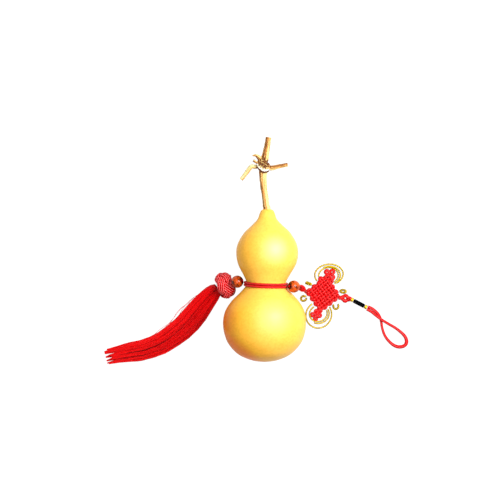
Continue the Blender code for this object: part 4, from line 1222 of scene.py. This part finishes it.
class GOURD_OT_gold_thread(bpy.types.Operator):
    """Make the rings and curls of gold thread"""

    bl_idname = "gourd.gold_thread"
    bl_label = "Gold thread"

    def execute(self, context):
        settings = context.scene.gourd_trim
        look = metallised_thread(settings)
        normal = Matrix.Rotation(KNOT_SLOPE, 3, "Y") @ Vector((0, 0, 1))
        radius = settings.gold_diameter / MM / 2
        paths = {}
        for name, (x, y, radius_x, radius_y, start, end, lift) in GOLD_ARCS.items():
            start, end = start - ARC_TUCK, end + ARC_TUCK
            steps = round((end - start) / 3)
            turns = [math.radians(start + (end - start) * k / steps) for k in range(steps + 1)]
            paths[name] = [
                knot_place(x + radius_x * math.cos(t), y + radius_y * math.sin(t), lift) for t in turns
            ]
        for name, path in paths.items():
            cord = drawn_cord(path, radius, 12, up=normal)
            add_piece("twisted_" + name, [cord], look, stands_for=(name,))
        for name, (x, y, half_length, half_width, lean, sweep) in GOLD_CURLS.items():
            spine = []
            for k in range(61):
                turn = sweep * (k / 60 - 0.5)
                spot = Matrix.Rotation(lean, 2) @ Vector((half_length * math.cos(turn), half_width * math.sin(turn)))
                spine.append(knot_place(x + spot.x, y + spot.y, 0.8 * (k / 60 - 0.5)))
            strands = []
            for side in (0, math.pi):
                path = []
                for k, place in enumerate(travel_frames(spine, False)):
                    turn = side + math.tau * CURL_TWISTS * k / 60
                    point = place @ Vector((CURL_STRAND * math.cos(turn), CURL_STRAND * math.sin(turn), 0))
                    path.append(rested(point, CURL_STRAND))
                strands.append(drawn_cord(path, CURL_STRAND, 8, up=normal))
            add_piece("twisted_" + name, strands, look, stands_for=(name,))
        return {"FINISHED"}


def turned_bar(start, direction, outline, sides=40):
    """A short round bar from (radius, distance along) pairs, by drawing its rim along the axis."""
    bm = bmesh.new()
    points = [bm.verts.new((r, 0, s)) for r, s in outline]
    edges = [bm.edges.new(pair) for pair in zip(points, points[1:])]
    bmesh.ops.spin(
        bm, geom=points + edges, cent=(0, 0, 0), axis=(0, 0, 1), angle=math.tau, steps=sides, use_merge=True
    )
    bmesh.ops.remove_doubles(bm, verts=bm.verts, dist=0.001)
    turn = direction.to_track_quat("Z", "Y").to_matrix().to_4x4()
    bmesh.ops.transform(bm, matrix=Matrix.Translation(start) @ turn, verts=bm.verts)
    return bm


class GOURD_OT_sleeve(bpy.types.Operator):
    """Make the black sleeve and its two gilt bands"""

    bl_idname = "gourd.sleeve"
    bl_label = "Sleeve and bands"

    def execute(self, context):
        settings = context.scene.gourd_trim
        start, end = Vector(SLEEVE_START), Vector(SLEEVE_END)
        direction = (end - start).normalized()
        length = (end - start).length
        outline = [(0, 0), (1.0, 0.0), (1.3, 0.08), (1.4, 0.3), (1.42, length / 2)]
        outline += [(r, length - s) for r, s in reversed(outline[:-1])]
        add_piece(
            "rubber_sleeve",
            [turned_bar(start, direction, outline)],
            black_sleeve_rubber(settings),
            stands_for=("sleeve",),
        )
        gilt = gilt_band(settings)
        rim = [(0, 0), (1.2, 0.0), (1.42, 0.08), (1.5, 0.25), (1.42, 0.42), (1.38, BAND_LENGTH / 2)]
        rim += [(r, BAND_LENGTH - s) for r, s in reversed(rim[:-1])]
        for name, at in (
            ("gold_band_near", start - direction * (BAND_LENGTH + BAND_GAP)),
            ("gold_band_far", end + direction * BAND_GAP),
        ):
            add_piece(
                "gilt_" + name, [turned_bar(at, direction, rim)], gilt, stands_for=(name,)
            )
        return {"FINISHED"}


class GOURD_OT_strap(bpy.types.Operator):
    """Make the strap loop"""

    bl_idname = "gourd.strap"
    bl_label = "Strap loop"

    def execute(self, context):
        diameter = context.scene.gourd_cords.strap_diameter
        path = smooth_path(STRAP_ROUTE, 0.5)
        radii = [diameter / MM / 2 * wide for wide in STRAP_WIDTHS]
        last = len(path) - 1
        resting = [rested(point, between(radii, i / last)) for i, point in enumerate(path)]
        strap = add_piece(
            "strap_cord",
            [drawn_cord(resting, radii, 12, up=Vector((0, 0, 1)))],
            strap_cord_look(),
            stands_for=("strap_loop",),
        )
        return {"FINISHED"}


# --- stage -------------------------------------------------------------------------------------


class GOURD_OT_stage(bpy.types.Operator):
    """Make the floor, the studio light and the camera"""

    bl_idname = "gourd.stage"
    bl_label = "Stage"

    def execute(self, context):
        scene = context.scene
        bm = bmesh.new()
        bmesh.ops.create_grid(bm, x_segments=1, y_segments=1, size=3.0)
        mesh = bpy.data.meshes.new("studio_floor")
        bm.to_mesh(mesh)
        bm.free()
        floor = bpy.data.objects.new("studio_floor", mesh)
        scene.collection.objects.link(floor)
        made, tree, shader = start_material("white_paper")
        grain = add(
            tree, "TexNoise", {"Vector": add(tree, "TexCoord").outputs["Object"], "Scale": 400.0, "Detail": 2.0}
        )
        tint = add(tree, "ValToRGB", {0: grain}, stops=[(0.0, linear("#DCDCDC")), (1.0, linear("#E4E4E4"))])
        set_shader(tree, shader, Base_Color=tint, Roughness=0.9, Specular_IOR_Level=0.0)
        # Lit from behind as seen by the eye, so that the paper stays white where the gourd shades it.
        glow = add(tree, "Emission", {"Color": (1.0, 1.0, 1.0, 1.0), "Strength": 1.16})
        seen = add(tree, "Math", {0: add(tree, "LightPath"), 1: 0.85}, operation="MULTIPLY")
        paper = add(tree, "MixShader", {0: seen, 1: shader, 2: glow})
        tree.links.new(paper.outputs[0], tree.nodes["Material Output"].inputs["Surface"])
        mesh.materials.append(made)

        world = bpy.data.worlds.new("studio")
        world.use_nodes = True
        sky = world.node_tree.nodes["Background"]
        sky.inputs["Color"].default_value = (1.0, 1.0, 1.0, 1.0)
        sky.inputs["Strength"].default_value = 0.36
        scene.world = world

        for name, place, size, power in (
            ("key_softbox", (0.31, 0.28, 0.49), 0.3, 6.0),
            ("overhead_softbox", (-0.05, 0.18, 1.1), 0.8, 5.2),
        ):
            light = bpy.data.lights.new(name, "AREA")
            light.shape = "DISK"
            light.size = size
            light.energy = power
            lamp = bpy.data.objects.new(name, light)
            lamp.location = place
            lamp.rotation_euler = (-Vector(place)).to_track_quat("-Z", "Y").to_euler()
            scene.collection.objects.link(lamp)

        camera = bpy.data.cameras.new("camera")
        camera.sensor_width = SENSOR
        camera.lens = SENSOR * CAMERA_DISTANCE / VIEW_WIDTH
        camera.clip_end = 20.0
        eye = bpy.data.objects.new("camera", camera)
        eye.location = Vector(VIEW_CENTRE) + CAMERA_DISTANCE * Vector(
            (0, math.sin(CAMERA_LEAN), math.cos(CAMERA_LEAN))
        )
        eye.rotation_euler = (-CAMERA_LEAN, 0, 0)
        scene.collection.objects.link(eye)
        scene.camera = eye
        scene.view_settings.view_transform = "Standard"
        return {"FINISHED"}


# --- add-on ------------------------------------------------------------------------------------

OPERATORS = (
    GOURD_OT_stage,
    GOURD_OT_strap,
    GOURD_OT_shell,
    GOURD_OT_stem,
    GOURD_OT_waist_cord,
    GOURD_OT_beads,
    GOURD_OT_ball_knot,
    GOURD_OT_tassel,
    GOURD_OT_small_knots,
    GOURD_OT_endless_knot,
    GOURD_OT_gold_thread,
    GOURD_OT_sleeve,
)


class GOURD_PT_ornament(bpy.types.Panel):
    """Lists the ornament's pieces and their sizes and colours"""

    bl_idname = "GOURD_PT_ornament"
    bl_label = "Gourd ornament"
    bl_space_type = "VIEW_3D"
    bl_region_type = "UI"
    bl_category = "Gourd"

    def draw(self, context):
        for operator in OPERATORS:
            self.layout.operator(operator.bl_idname)
        for name in SETTINGS:
            box = self.layout.box()
            group = getattr(context.scene, name)
            for prop in group.__annotations__:
                box.prop(group, prop)


SETTINGS = {
    "gourd_body": GourdSettings,
    "gourd_cords": CordSettings,
    "gourd_tassel": TasselSettings,
    "gourd_trim": TrimSettings,
}


def register():
    for made in (*SETTINGS.values(), *OPERATORS, GOURD_PT_ornament):
        bpy.utils.register_class(made)
    for name, group in SETTINGS.items():
        setattr(bpy.types.Scene, name, PointerProperty(type=group))


def unregister():
    for name in SETTINGS:
        delattr(bpy.types.Scene, name)
    for made in reversed((*SETTINGS.values(), *OPERATORS, GOURD_PT_ornament)):
        bpy.utils.unregister_class(made)


def main():
    register()
    for operator in OPERATORS:
        family, name = operator.bl_idname.split(".")
        getattr(getattr(bpy.ops, family), name)()


if __name__ == "__main__":
    main()
